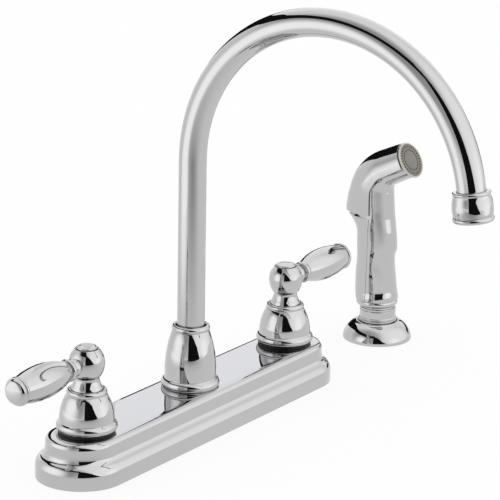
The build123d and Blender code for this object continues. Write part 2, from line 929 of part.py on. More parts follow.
def outlet_profile_plane():
    """Plane through the outlet's axis: local x is the radius, local y runs down the outlet."""
    down = outlet_plane.z_dir
    across = Vector(1, 0, 0)
    return Plane(origin=outlet_plane.origin, x_dir=across, z_dir=across.cross(down))


aerator_foot = aerator_length - aerator_rise
with BuildPart() as outlet_ferrule:
    with BuildSketch(outlet_profile_plane()):
        with BuildLine():
            Polyline(
                (spout_radius, 0.5),
                (ferrule_radius, 0.5),
                (ferrule_radius, 0.5 + ferrule_length),
                (spout_radius, 0.5 + ferrule_length),
                close=True,
            )
        make_face()
    revolve(axis=outlet_axis)
finish(outlet_ferrule, "outlet_ferrule")

with BuildPart() as aerator_shell:
    with BuildSketch(outlet_profile_plane()):
        low = aerator_foot
        with BuildLine():
            Line((spout_radius + 0.15, -aerator_rise), (aerator_top_radius - 0.9, -aerator_rise))
            ThreePointArc(
                (aerator_top_radius - 0.9, -aerator_rise),
                (aerator_top_radius, -aerator_rise + 1.0),
                (aerator_top_radius - 0.35, -aerator_rise + 2.1),
            )
            ThreePointArc(
                (aerator_top_radius - 0.35, -aerator_rise + 2.1),
                (aerator_radius, -aerator_rise + 9.3),
                (aerator_radius - 0.5, low - 3.1),
            )
            ThreePointArc(
                (aerator_radius - 0.5, low - 3.1),
                (aerator_bead_radius, low - 1.6),
                (aerator_bead_radius - 1.1, low),
            )
            Polyline(
                (aerator_bead_radius - 1.1, low),
                (aerator_bore, low),
                (aerator_bore, low - 1.0),
                (ferrule_radius + fit_gap, low - 1.0),
                (ferrule_radius + fit_gap, 0.4),
                (spout_radius + 0.15, 0.4),
                (spout_radius + 0.15, -aerator_rise),
            )
        make_face()
    revolve(axis=outlet_axis)
finish(aerator_shell, "aerator_shell")

insert_top = 0.5 + ferrule_length + 1.2
insert_foot = aerator_foot - 1.0
insert_holes = 12
with BuildPart() as aerator_washer:
    with BuildSketch(outlet_plane.offset(0.5 + ferrule_length)):
        Circle(ferrule_radius)
        Circle(spout_radius - spout_wall, mode=Mode.SUBTRACT)
    extrude(amount=1.2)
finish(aerator_washer, "aerator_washer")

with BuildPart() as aerator_insert:
    with BuildSketch(outlet_plane.offset(insert_top)):
        Circle(ferrule_radius)
    extrude(amount=insert_foot - insert_top)
    with BuildSketch(outlet_plane.offset(insert_top)):
        with PolarLocations(ferrule_radius - 4.6, insert_holes):
            Circle(0.9)
        Circle(1.6)
    extrude(amount=insert_foot - insert_top, mode=Mode.SUBTRACT)
finish(aerator_insert, "aerator_insert")

# ---- Side spray holder ---------------------------------------------------------------------

holder_bore = holder_shank_radius - holder_wall
holder_nut_foot = -(deck_thickness + washer_thickness + holder_nut_height)
holder_relief_top = holder_nut_foot - relief_gap
holder_relief_foot = holder_relief_top - relief_width
liner_foot = -20.0
with BuildPart() as spray_holder:
    with BuildSketch(section_plane(spray_offset)):
        with BuildLine():
            Polyline(
                (holder_bore, -holder_shank_length),
                (holder_shank_radius, -holder_shank_length),
                (holder_shank_radius, holder_relief_foot),
                (holder_shank_radius - holder_relief_depth, holder_relief_foot),
                (holder_shank_radius - holder_relief_depth, holder_relief_top),
                (holder_shank_radius, holder_relief_top),
                (holder_shank_radius, 1.4),
                (holder_radius - 1.8, 1.4),
                (holder_radius - 1.8, 0),
                (holder_radius, 0),
                (holder_radius, 1.5),
            )
            ThreePointArc(
                (holder_radius, 1.5),
                (holder_radius - 3.0, 7.9),
                (holder_lip_radius + 0.6, holder_height - 0.4),
            )
            ThreePointArc(
                (holder_lip_radius + 0.6, holder_height - 0.4),
                (holder_lip_radius - 0.2, holder_height),
                (holder_lip_radius - 0.9, holder_height - 0.5),
            )
            Line((holder_lip_radius - 0.9, holder_height - 0.5), (holder_bore, holder_height - 1.4))
            Line((holder_bore, holder_height - 1.4), (holder_bore, -holder_shank_length))
        make_face()
    revolve(axis=spray_axis)
finish(spray_holder, "spray_holder")

holder_gasket = turned(
    spray_offset,
    (holder_shank_radius + 0.3, 0),
    (holder_radius - 1.8 - fit_gap, 0),
    (holder_radius - 1.8 - fit_gap, 1.4),
    (holder_shank_radius + 0.3, 1.4),
)
finish(holder_gasket, "holder_gasket")

liner_radius = holder_bore - fit_gap
holder_liner = turned(
    spray_offset,
    (liner_radius - liner_wall - 2.2, liner_foot),
    (liner_radius, liner_foot),
    (liner_radius, holder_height - 1.8),
    (liner_radius - liner_wall, holder_height - 1.8),
    (liner_radius - liner_wall, -4),
    (liner_radius - liner_wall - 2.2, liner_foot + 4),
)
finish(holder_liner, "holder_liner")

with BuildPart() as holder_nut:
    with BuildSketch(Plane.XY.offset(-deck_thickness)):
        with Locations((spray_offset, 0)):
            Circle(holder_shank_radius + holder_nut_wall + 1)
            Circle(holder_shank_radius + fit_gap, mode=Mode.SUBTRACT)
    extrude(amount=-washer_thickness)
    with BuildSketch(Plane.XY.offset(-deck_thickness - washer_thickness)):
        with Locations((spray_offset, 0)):
            RegularPolygon(holder_shank_radius + holder_nut_wall, 6)
            Circle(holder_shank_radius + fit_gap, mode=Mode.SUBTRACT)
    extrude(amount=-holder_nut_height)
finish(holder_nut, "holder_nut")

# ---- Side spray ----------------------------------------------------------------------------

tilt = radians(head_tilt)
bend_angle = 90 - head_tilt
bend_centre_y = grip_axis - head_bend_radius
head_dir = Vector(0, -cos(tilt), sin(tilt))
head_start = Vector(
    spray_offset,
    bend_centre_y + head_bend_radius * cos(radians(bend_angle)),
    grip_top + head_bend_radius * sin(radians(bend_angle)),
)


def grip_middle(z):
    """How far behind the holder's axis the grip's middle lies at a height."""
    share = (z - grip_bottom) / (grip_top - grip_bottom)
    return 1.2 + (grip_axis - 1.2) * share


def path_plane(step, shift=0.0):
    """Plane across the spray at a step: a height on the grip, an angle in the bend or a
    distance along the head. Local x is across the spray, local y points to its back."""
    kind, value = step
    if kind == "grip":
        origin = Vector(spray_offset, grip_middle(value), value)
        ahead = Vector(0, 0, 1)
    elif kind == "bend":
        angle = radians(value)
        origin = Vector(
            spray_offset,
            bend_centre_y + head_bend_radius * cos(angle),
            grip_top + head_bend_radius * sin(angle),
        )
        ahead = Vector(0, -sin(angle), cos(angle))
    else:
        origin = head_start + head_dir * value
        ahead = head_dir
    across = Vector(1, 0, 0)
    back = ahead.cross(across)
    return Plane(origin=origin + back * shift, x_dir=across, z_dir=ahead)


def lofted(sections):
    """Smooth solid through ellipses: step, half width, reach to the front, reach to the back."""
    with BuildPart() as solid:
        for step, half_width, front, back in sections:
            with BuildSketch(path_plane(step, (back - front) / 2)):
                Ellipse(half_width, (front + back) / 2)
        loft()
    return solid.part


grip_bore = 8.0
head_bore = 9.0
core_root = 4.0                 # how far the core stands down inside the rear cover
shell_end = head_length - 1.7
grip_lower = lofted(
    (
        (("grip", grip_bottom), 13.5, 13.4, 13.4),
        (("grip", 36), 13.7, 13.6, 13.6),
        (("grip", 55), 12.7, 12.6, 12.6),
        (("grip", ledge_height - 13.2), 12.7, 12.6, 12.6),
        (("grip", ledge_height - 7.2), 12.6, 12.4, 14.4),
        (("grip", ledge_height), 12.4, 12.5, 18.6),
    )
)
grip_upper = lofted(
    (
        (("grip", ledge_height - core_root), core_width, core_reach, core_reach),
        (("grip", grip_top), core_width, core_reach, core_reach),
        (("bend", bend_angle / 2), 11.2, 11.7, 11.7),
        (("head", 0), head_radius, head_radius, head_radius),
        (("head", shell_end), head_radius, head_radius, head_radius),
    )
)
pin_place = head_start + head_dir * 11.0
pin_radius = 1.5
valve_stem_radius = 2.0
seam_y = 2.0
split_plane = Plane(origin=(spray_offset, seam_y, 0), x_dir=(1, 0, 0), z_dir=(0, 1, 0))

with BuildPart() as spray_shell:
    add(split(grip_lower, bisect_by=split_plane, keep=Keep.BOTTOM))
    add(grip_upper)
    with BuildSketch(path_plane(("grip", grip_bottom))):
        Circle(grip_bore)
    extrude(amount=grip_top - grip_bottom + 6, mode=Mode.SUBTRACT)
    with BuildSketch(path_plane(("head", shell_end + 1))):
        Circle(head_bore)
    extrude(amount=-(shell_end + 6), mode=Mode.SUBTRACT)
    with BuildSketch(split_plane.offset(3)):
        with Locations((0, -valve_height) if split_plane.y_dir.Z < 0 else (0, valve_height)):
            Circle(valve_stem_radius + running_gap)
    extrude(amount=20, mode=Mode.SUBTRACT)
    with BuildSketch(Plane(origin=pin_place, x_dir=(0, 1, 0), z_dir=(1, 0, 0))):
        Circle(pin_radius + running_gap)
    extrude(amount=head_radius + 2, both=True, mode=Mode.SUBTRACT)
finish(spray_shell, "spray_shell")

with BuildPart() as spray_back:
    add(split(grip_lower, bisect_by=split_plane, keep=Keep.TOP))
    with BuildSketch(path_plane(("grip", grip_bottom - 1))):
        Circle(grip_bore)
    extrude(amount=ledge_height, mode=Mode.SUBTRACT)
    with BuildSketch(path_plane(("grip", ledge_height - core_root - 0.1))):
        Ellipse(core_width + 0.2, core_reach + 0.2)
    extrude(amount=core_root + 1, mode=Mode.SUBTRACT)
finish(spray_back, "spray_back")

# Thumb lever over the back of the head: it rocks on two stub pins near the nozzle
with BuildPart() as trigger:
    for step, half_width, back, skirt in (
        (("grip", trigger_foot), 12.9, 21.9, 2.0),
        (("grip", trigger_foot + 5.6), 12.9, 21.2, 2.0),
        (("grip", trigger_foot + 11.6), 12.9, 19.9, 2.2),
        (("bend", 2), 12.9, 18.1, 2.6),
        (("bend", 24), 12.8, 15.6, 3.6),
        (("bend", 45), 12.7, 14.2, 3.6),
        (("head", 0), 12.6, 13.5, 3.6),
        (("head", 9), 12.5, 13.0, 3.4),
        (("head", shell_end - 0.5), 12.4, 12.4, 3.2),
    ):
        inner = half_width - trigger_wall
        with BuildSketch(path_plane(step)):
            with BuildLine():
                Line((inner, -skirt), (half_width, -skirt))
                Line((half_width, -skirt), (half_width, 0))
                EllipticalCenterArc((0, 0), half_width, back, arc_size=180)
                Line((-half_width, 0), (-half_width, -skirt))
                Line((-half_width, -skirt), (-inner, -skirt))
                Line((-inner, -skirt), (-inner, 0))
                EllipticalCenterArc((0, 0), inner, back - trigger_wall, arc_size=180)
                Line((inner, 0), (inner, -skirt))
            make_face()
    loft()
    with BuildSketch(Plane(origin=pin_place, x_dir=(0, 1, 0), z_dir=(1, 0, 0))):
        Circle(pin_radius)
    extrude(amount=head_radius + 4, both=True, mode=Mode.SUBTRACT)
finish(trigger, "trigger")

with BuildPart() as trigger_pins:
    for side in (-1, 1):
        with BuildSketch(Plane(origin=pin_place, x_dir=(0, 1, 0), z_dir=(side, 0, 0)).offset(head_bore + 0.3)):
            Circle(pin_radius)
        extrude(amount=pin_reach - head_bore - 0.3)
finish(trigger_pins, "trigger_pins")

# Valve plunger behind the lever, with its return spring round it
plunger_tip = grip_middle(valve_height) + plunger_reach
plunger_plane = Plane(origin=(spray_offset, 0, valve_height), x_dir=(1, 0, 0), z_dir=(0, 1, 0))
core_back = grip_middle(valve_height) + core_reach + running_gap
plunger_cap = 1.2
with BuildPart() as spray_valve:
    with BuildSketch(plunger_plane.offset(core_back - 6.5)):
        Circle(valve_stem_radius)
    extrude(amount=plunger_tip - core_back + 6.5)
    with BuildSketch(plunger_plane.offset(plunger_tip - plunger_cap)):
        Circle(valve_stem_radius + 1.6)
    extrude(amount=plunger_cap)
finish(spray_valve, "spray_valve")

valve_spring_wire = 0.35
valve_spring_start = core_back + valve_spring_wire + 0.1
valve_spring_length = plunger_tip - plunger_cap - valve_spring_wire - valve_spring_start - 1.9
with BuildPart() as spray_valve_spring:
    with BuildLine():
        valve_coil = Helix(
            pitch=valve_spring_length / 4,
            height=valve_spring_length,
            radius=valve_stem_radius + 0.9,
            center=(spray_offset, valve_spring_start, valve_height),
            direction=(0, 1, 0),
        )
    with BuildSketch(Plane(origin=valve_coil @ 0, z_dir=valve_coil % 0)):
        Circle(valve_spring_wire)
    sweep(path=valve_coil, is_frenet=True)
finish(spray_valve_spring, "spray_valve_spring")

# Nozzle: pale rim, and a face with a ring of slots round a raised disc
with BuildPart() as nozzle_rim:
    with BuildSketch(path_plane(("head", shell_end))):
        Circle(nozzle_radius)
    extrude(amount=2.3)
    with BuildSketch(path_plane(("head", shell_end - 5))):
        Circle(head_bore - fit_gap)
    extrude(amount=5)
    with BuildSketch(path_plane(("head", shell_end + 0.6))):
        Circle(face_radius)
    extrude(amount=4, mode=Mode.SUBTRACT)
    with BuildSketch(path_plane(("head", shell_end - 6))):
        Circle(head_bore - 1.4)
    extrude(amount=9, mode=Mode.SUBTRACT)
finish(nozzle_rim, "nozzle_rim")

with BuildPart() as nozzle_face:
    with BuildSketch(path_plane(("head", shell_end + 0.6))):
        Circle(face_radius - fit_gap)
    extrude(amount=1.3)
    with BuildSketch(path_plane(("head", shell_end + 1.9))):
        Circle(6.6)
        Circle(6.0, mode=Mode.SUBTRACT)
    extrude(amount=0.5)
    with BuildSketch(path_plane(("head", shell_end + 0.6))):
        with PolarLocations(8.6, nozzle_slots):
            Rectangle(1.5, 0.85)
    extrude(amount=2, mode=Mode.SUBTRACT)
finish(nozzle_face, "nozzle_face")

# Collar under the grip, and the coupling that stands in the holder
spray_collar = turned(
    spray_offset,
    (grip_bore, grip_bottom - 5),
    (spray_collar_radius - 1.3, grip_bottom - 5),
    (spray_collar_radius - 0.4, grip_bottom - 4),
    (spray_collar_radius, grip_bottom - 2.6),
    (spray_collar_radius, grip_bottom - 1.2),
    (spray_collar_radius - 0.5, grip_bottom),
    (grip_bore, grip_bottom),
)
finish(spray_collar, "spray_collar")

coupling_top = grip_bottom - 5
coupling_rest = holder_height + free_gap
hose_bore = 4.5
spray_coupling = turned(
    spray_offset,
    (hose_bore, -spray_tail),
    (9.0, -spray_tail),
    (spray_neck_radius, -2.0),
    (spray_neck_radius, coupling_rest),
    (spray_neck_radius + 0.8, coupling_rest),
    (spray_neck_radius + 0.8, coupling_rest + 1.0),
    (spray_neck_radius + 0.3, coupling_rest + 1.3),
    (spray_neck_radius + 0.3, coupling_rest + 2.2),
    (spray_neck_radius, coupling_rest + 2.5),
    (spray_neck_radius, coupling_top),
    (grip_bore, coupling_top),
    (grip_bore, 10),
    (hose_bore, 6),
)
finish(spray_coupling, "spray_coupling")
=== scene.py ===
"""Looks of a two handle kitchen faucet with a side spray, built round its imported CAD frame.

Every length below is in millimetres unless its name says otherwise, in the CAD's own frame:
the origin is the middle of the cover plate's underside, +Z is up and the spout points to -Y.
"""

import json
import math

import bmesh
import bpy
from bpy.props import (
    BoolProperty,
    FloatProperty,
    FloatVectorProperty,
    PointerProperty,
    StringProperty,
)
from mathutils import Matrix, Vector


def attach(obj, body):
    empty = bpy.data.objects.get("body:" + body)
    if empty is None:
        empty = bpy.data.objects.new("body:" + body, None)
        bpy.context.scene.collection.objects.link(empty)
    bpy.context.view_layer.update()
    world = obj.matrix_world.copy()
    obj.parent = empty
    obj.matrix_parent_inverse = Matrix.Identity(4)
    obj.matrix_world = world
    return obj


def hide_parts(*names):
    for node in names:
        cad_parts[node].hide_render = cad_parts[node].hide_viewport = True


bl_info = {
    "name": "Kitchen faucet looks",
    "version": (1, 0, 0),
    "blender": (4, 5, 0),
    "location": "3D View > Sidebar > Faucet",
    "description": "Visible pieces, finishes and studio of a two handle kitchen faucet",
    "category": "Object",
}

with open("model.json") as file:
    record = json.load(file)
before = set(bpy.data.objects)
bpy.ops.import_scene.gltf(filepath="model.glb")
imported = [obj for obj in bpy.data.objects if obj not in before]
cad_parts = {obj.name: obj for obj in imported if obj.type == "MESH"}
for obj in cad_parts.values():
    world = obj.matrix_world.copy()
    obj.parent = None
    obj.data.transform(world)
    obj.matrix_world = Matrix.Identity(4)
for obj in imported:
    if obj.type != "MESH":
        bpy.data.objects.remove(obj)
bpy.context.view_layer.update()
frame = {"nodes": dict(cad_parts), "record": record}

MM = 0.001
SHARP_ANGLE = math.radians(32)
SIDES = (("hot", -1), ("cold", 1))
HANDLE_X = 101.6
SPRAY_X = 212.5
PLATE_TOP = 25.6
PLATE_END = 106.2
BELL_FOOT = 27.6
BALL_HEIGHT = 67.2
SPOUT_BEND = 95.2
SPOUT_STRAIGHT = 165.2
OUTLET_ANGLE = math.radians(172.5)
TUBE_RADIUS = 8.32


# ---- Settings that a user would change ----


class FaucetSizes(bpy.types.PropertyGroup):
    """How finely the turned and swept pieces are made, and how soft their edges are."""

    edge_radius: FloatProperty(
        name="Edge radius",
        description="Rounding of the polished edges",
        default=0.25 * MM,
        min=0.05 * MM,
        max=1.0 * MM,
        subtype="DISTANCE",
        unit="LENGTH",
    )
    seam_width: FloatProperty(
        name="Seam width",
        description="Gap between the spray's front and rear covers",
        default=0.16 * MM,
        min=0.0,
        max=0.6 * MM,
        subtype="DISTANCE",
        unit="LENGTH",
    )
    facet_angle: FloatProperty(
        name="Facet angle",
        description="Largest turn between two neighbouring faces of a turned piece",
        default=math.radians(3.0),
        min=math.radians(1.0),
        max=math.radians(15.0),
        subtype="ANGLE",
    )


class FaucetFinishes(bpy.types.PropertyGroup):
    """Colours of the finishes, as sRGB hex values."""

    chrome: StringProperty(name="Chrome", description="Bright plate in view", default="C3C3C4")
    rubber: StringProperty(name="Rubber", description="Bell and deck seals", default="101011")
    brass: StringProperty(name="Brass", description="Valve bodies", default="C9A862")
    copper: StringProperty(name="Copper", description="Crossover tubes", default="C8805A")
    steel: StringProperty(name="Steel", description="Springs and screws", default="A9AAAC")
    acetal: StringProperty(name="Acetal", description="Cartridges and nuts", default="E2E1DB")
    rim: StringProperty(name="Nozzle rim", description="Rim of the spray", default="D9D5C6")
    face: StringProperty(name="Nozzle face", description="Face of the spray", default="8E8B82")


class FaucetStudio(bpy.types.PropertyGroup):
    """Light of the studio round the faucet."""

    floor_colour: FloatVectorProperty(
        name="Floor colour",
        description="Pale floor that the faucet stands on",
        default=(0.86, 0.86, 0.86),
        min=0.0,
        max=1.0,
        subtype="COLOR",
    )
    box_strength: FloatProperty(
        name="Soft box strength",
        description="Brightness of the soft boxes that the chrome shows, where 1 is white",
        default=1.48,
        min=0.0,
        max=4.0,
        subtype="FACTOR",
    )
    show_cards: BoolProperty(
        name="Black cards",
        description="Black cards that give the chrome its dark lines",
        default=True,
    )


# ---- Outlines ----


def circle_centre(first, middle, last):
    """Centre of the circle through three points of a plane."""
    ax, ay = middle - first
    bx, by = last - first
    cross = 2 * (ax * by - ay * bx)
    a2, b2 = ax * ax + ay * ay, bx * bx + by * by
    return first + Vector(((by * a2 - ay * b2) / cross, (ax * b2 - bx * a2) / cross))


ARC_COARSENESS = 2.2  # an outline's arcs are this much coarser than the way round a piece


def arc_points(first, middle, last):
    """Points after first, along the arc through middle to last."""
    first, middle, last = Vector(first), Vector(middle), Vector(last)
    centre = circle_centre(first, middle, last)
    radius = (first - centre).length
    start = math.atan2(*(first - centre).yx)
    turn = math.atan2(*(last - centre).yx) - start
    half = math.atan2(*(middle - centre).yx) - start
    turn, half = turn % math.tau, half % math.tau
    if half > turn:
        turn -= math.tau
    facet = bpy.context.scene.faucet_sizes.facet_angle * ARC_COARSENESS
    steps = max(3, math.ceil(abs(turn) / facet))
    points = []
    for i in range(1, steps + 1):
        angle = start + turn * i / steps
        points.append(centre + radius * Vector((math.cos(angle), math.sin(angle))))
    return points


def leaving_arc(first, tangent, last):
    """Middle of the arc that leaves first along tangent and ends at last."""
    first, last = Vector(first), Vector(last)
    tangent = Vector(tangent).normalized()
    chord = last - first
    normal = Vector((-tangent.y, tangent.x))
    radius = chord.length_squared / (2 * chord.dot(normal))
    centre = first + normal * radius
    middle = (first + last) / 2 - centre
    return centre + middle.normalized() * abs(radius) * (1 if chord.dot(tangent) > 0 else -1)


def outline(start, *moves):
    """Points along lines and arcs. A move is an end point, or ("arc", middle, end), or
    ("leave", tangent, end) for an arc that starts along the tangent."""
    points = [Vector(start)]
    for move in moves:
        if len(move) == 2:
            points.append(Vector(move))
            continue
        way, guide, end = move
        middle = leaving_arc(points[-1], guide, end) if way == "leave" else guide
        points.extend(arc_points(points[-1], middle, end))
    return points


def dome_middle(edge, top):
    """Middle of the arc from a dome's edge to its top on the axis: points are (radius, height)."""
    radius, rise = edge[0], top[1] - edge[1]
    sphere = (radius * radius + rise * rise) / (2 * rise)
    half = math.asin(radius / sphere) / 2
    return (sphere * math.sin(half), top[1] - sphere * (1 - math.cos(half)))


# ---- Meshes ----


def new_piece(name, bm, slot, body, replaced=(), bevel=True):
    """Turn a bmesh in millimetres into a finished piece that rides on a CAD body."""
    bmesh.ops.remove_doubles(bm, verts=bm.verts, dist=0.0005)
    bmesh.ops.recalc_face_normals(bm, faces=bm.faces)
    bmesh.ops.scale(bm, vec=(MM, MM, MM), verts=bm.verts)
    mesh = bpy.data.meshes.new(name)
    bm.to_mesh(mesh)
    bm.free()
    mesh.shade_smooth()
    mesh.set_sharp_from_angle(angle=SHARP_ANGLE)
    piece = bpy.data.objects.new(name, mesh)
    bpy.context.scene.collection.objects.link(piece)
    mesh.materials.append(finish(slot))
    if bevel:
        soften(piece)
    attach(piece, body)
    if replaced:
        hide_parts(*replaced)
    return piece


def soften(piece):
    """Round a piece's sharp edges, as polishing does."""
    edge = piece.modifiers.new("Polished edges", "BEVEL")
    edge.width = bpy.context.scene.faucet_sizes.edge_radius
    edge.segments = 2
    edge.profile = 0.5
    edge.limit_method = "ANGLE"
    edge.angle_limit = SHARP_ANGLE
    edge.harden_normals = True


def swung(bm, geometry, centre, axis, angle, steps, merge=False):
    """Swing verts and edges round an axis through a centre, and give back the last edges."""
    swing = bmesh.ops.spin(
        bm,
        geom=geometry,
        cent=centre,
        axis=axis,
        angle=angle,
        steps=steps,
        use_merge=merge,
        use_duplicate=False,
    )
    return [g for g in swing["geom_last"] if isinstance(g, bmesh.types.BMEdge)]


def turned(points, x=0.0, y=0.0, z=0.0, axis=(0, 0, 1), across=(1, 0, 0), closed=False):
    """A bmesh turned about an axis through (x, y, z) from (radius, height) points, where across
    is the way that the radius is drawn."""
    origin, axis, across = Vector((x, y, z)), Vector(axis), Vector(across)
    bm = bmesh.new()
    verts = [bm.verts.new(origin + across * p[0] + axis * p[1]) for p in points]
    edges = [bm.edges.new(pair) for pair in zip(verts, verts[1:])]
    if closed:
        edges.append(bm.edges.new((verts[-1], verts[0])))
    steps = round(math.tau / bpy.context.scene.faucet_sizes.facet_angle)
    swung(bm, verts + edges, origin, axis, math.tau, steps, merge=True)
    return bm


def drawn_out(bm, edges, vec):
    """Extrude edges along a vector and give back the new verts and edges."""
    drawn = bmesh.ops.extrude_edge_only(bm, edges=edges)["geom"]
    verts = [g for g in drawn if isinstance(g, bmesh.types.BMVert)]
    bmesh.ops.translate(bm, vec=vec, verts=verts)
    return verts, [g for g in drawn if isinstance(g, bmesh.types.BMEdge)]


def circle_edges(bm, centre, radius, segments):
    """Edges of a level circle."""
    circle = bmesh.ops.create_circle(
        bm,
        cap_ends=False,
        radius=radius,
        segments=segments,
        matrix=Matrix.Translation(centre),
    )
    return list({e for v in circle["verts"] for e in v.link_edges})


def add_ring(bm, points):
    """A closed loop of edges through points."""
    verts = [bm.verts.new(p) for p in points]
    return [bm.edges.new((a, b)) for a, b in zip(verts, verts[1:] + verts[:1])]


def bridged(rings):
    """A bmesh skinned over closed rings of equal counts, with its two ends closed."""
    bm = bmesh.new()
    loops = [add_ring(bm, ring) for ring in rings]
    for first, second in zip(loops, loops[1:]):
        bmesh.ops.bridge_loops(bm, edges=first + second)
    for end in (loops[0], loops[-1]):
        bmesh.ops.contextual_create(bm, geom=end)
    return bm


# ---- Finishes ----


def linear(hex_colour):
    """sRGB hex to linear RGBA."""
    values = [int(hex_colour[i : i + 2], 16) / 255 for i in (0, 2, 4)]
    return [v / 12.92 if v <= 0.04045 else ((v + 0.055) / 1.055) ** 2.4 for v in values] + [1.0]


def add_node(tree, kind, links=(), **settings):
    """Add a node, set its sockets and attributes, and link sockets of earlier nodes to it."""
    node = tree.nodes.new(kind)
    for name, value in settings.items():
        socket = node.inputs.get(name.replace("_", " "))
        if socket is not None and not hasattr(node, name):
            socket.default_value = value
        else:
            setattr(node, name, value)
    for source, target in links:
        tree.links.new(source, node.inputs[target])
    return node


def empty_material(name):
    """A node material with no shader yet, its tree and its object coordinates."""
    material = bpy.data.materials.new(name)
    material.use_nodes = True
    tree = material.node_tree
    tree.nodes.clear()
    return material, tree, add_node(tree, "ShaderNodeTexCoord").outputs["Object"]


def add_skin(tree, links, **settings):
    """Close a finish with its Principled shader, of some links and settings."""
    shader = add_node(tree, "ShaderNodeBsdfPrincipled", links, **settings)
    add_node(tree, "ShaderNodeOutputMaterial", [(shader.outputs["BSDF"], "Surface")])


NOISE_LOW, NOISE_HIGH = 0.3, 0.7  # nearly all of a noise's values lie between these


def drifting_roughness(tree, place, patch_mm, low, high, detail=3.0):
    """Roughness that drifts between low and high over patches of a size in millimetres."""
    noise = add_node(
        tree,
        "ShaderNodeTexNoise",
        [(place, "Vector")],
        Scale=1 / (patch_mm * MM),
        Detail=detail,
    )
    spread = add_node(
        tree,
        "ShaderNodeMapRange",
        [(noise.outputs["Fac"], "Value")],
        From_Min=NOISE_LOW,
        From_Max=NOISE_HIGH,
        To_Min=low,
        To_Max=high,
    )
    return spread.outputs["Result"]


def chrome_plate(name, colour):
    """Bright nickel-chrome plate on buffed brass: a mirror that gives back a little over half
    of the light, with faint wipe marks that only drift its sharpness."""
    material, tree, place = empty_material(name)
    roughness = drifting_roughness(tree, place, patch_mm=18.0, low=0.018, high=0.05)
    add_skin(tree, [(roughness, "Roughness")], Base_Color=linear(colour), Metallic=1.0)
    return material


def moulded_rubber(name, colour):
    """Moulded black nitrile rubber: a dark satin skin that is a little duller in patches."""
    material, tree, place = empty_material(name)
    roughness = drifting_roughness(tree, place, patch_mm=4.0, low=0.34, high=0.46)
    links = [(roughness, "Roughness")]
    add_skin(tree, links, Base_Color=linear(colour), Specular_IOR_Level=0.3)
    return material


WAVE_RADIANS = 20  # a wave texture turns so far along a metre at a scale of 1


def machined_metal(name, colour, mark_mm, low, high):
    """Machined or drawn metal: a satin sheen with turning marks round the piece, drawn a few
    times coarser than real ones so that they show."""
    material, tree, place = empty_material(name)
    roughness = drifting_roughness(tree, place, patch_mm=6.0, low=low, high=high, detail=4.0)
    marks = add_node(
        tree,
        "ShaderNodeTexWave",
        [(place, "Vector")],
        wave_type="BANDS",
        bands_direction="Z",
        Scale=math.tau / (mark_mm * MM * WAVE_RADIANS),
        Distortion=0.6,
    )
    relief = add_node(
        tree,
        "ShaderNodeBump",
        [(marks.outputs["Fac"], "Height")],
        Strength=0.35,
        Distance=0.02 * MM,
    )
    links = [(roughness, "Roughness"), (relief.outputs["Normal"], "Normal")]
    add_skin(tree, links, Base_Color=linear(colour), Metallic=1.0)
    return material


CLOUD_MM = 9.0


def moulded_plastic(name, colour, grain_mm, low, high):
    """Injection-moulded plastic: even colour with a slight cloudiness and a fine spark grain."""
    material, tree, place = empty_material(name)
    cloud, grain = (
        add_node(
            tree,
            "ShaderNodeTexNoise",
            [(place, "Vector")],
            Scale=1 / (patch_mm * MM),
            Detail=detail,
        ).outputs["Fac"]
        for patch_mm, detail in ((CLOUD_MM, 3.0), (grain_mm, 2.0))
    )
    tint = add_node(tree, "ShaderNodeMix", [(cloud, "Factor")], data_type="RGBA")
    for socket, shade in ((6, 0.93), (7, 1.05)):
        tone = [min(1.0, c * shade) for c in linear(colour)[:3]]
        tint.inputs[socket].default_value = (*tone, 1.0)
    roughness = drifting_roughness(tree, place, patch_mm=2.0, low=low, high=high)
    relief = add_node(
        tree,
        "ShaderNodeBump",
        [(grain, "Height")],
        Strength=0.6,
        Distance=0.01 * MM,
    )
    links = [
        (tint.outputs[2], "Base Color"),
        (roughness, "Roughness"),
        (relief.outputs["Normal"], "Normal"),
    ]
    add_skin(tree, links)
    return material


# slot of the record: name of the material, what makes it, setting of its colour, size of its
# marks or grain in millimetres, lowest and highest roughness
FINISHES = {
    "chrome": ("bright chrome plate on brass", chrome_plate, "chrome"),
    "black_rubber": ("moulded nitrile rubber", moulded_rubber, "rubber"),
    "brass": ("machined brass", machined_metal, "brass", 1.571, 0.2, 0.34),
    "copper": ("drawn copper tube", machined_metal, "copper", 7.54, 0.22, 0.36),
    "steel": ("bright stainless steel", machined_metal, "steel", 2.513, 0.2, 0.3),
    "white_plastic": ("moulded white acetal", moulded_plastic, "acetal", 0.5, 0.36, 0.5),
    "pale_rim": ("moulded ivory ABS", moulded_plastic, "rim", 0.8, 0.22, 0.34),
    "grey_face": ("moulded grey elastomer", moulded_plastic, "face", 0.4, 0.42, 0.58),
}


def finish(slot):
    """The finish of one of the record's slots, made when it is first asked for."""
    name, make, setting, *values = FINISHES[slot]
    colour = getattr(bpy.context.scene.faucet_finishes, setting)
    return bpy.data.materials.get(name) or make(name, colour, *values)


# ---- Cover plate ----

# out from the plate's middle line, height
PLATE_SECTION = (
    (17.2, 23.8),
    ("arc", (18.8, 22.1), (19.3, 19.7)),
    (19.8, 14.4),
    ("arc", (20.6, 12.6), (22.3, 11.2)),
    ("arc", (24.5, 8.7), (25.3, 6.1)),
    (25.3, 0.0),
    (27.1, 0.0),
    (27.1, 7.0),
    ("leave", (0, 1), (24.02, 13.0)),
    ("arc", (22.47, 14.25), (21.6, 16.2)),
    (21.1, 21.0),
    ("arc", (20.55, 23.7), (18.9, 25.1)),
    ("arc", (17.0, 25.5), (15.0, 25.6)),
)
PLATE_HOLES = ((-HANDLE_X, 12.6), (0.0, 14.2), (HANDLE_X, 12.6))
HOLE_SIDES = 64
END_STEPS = 48
SIDE_STEPS = 6


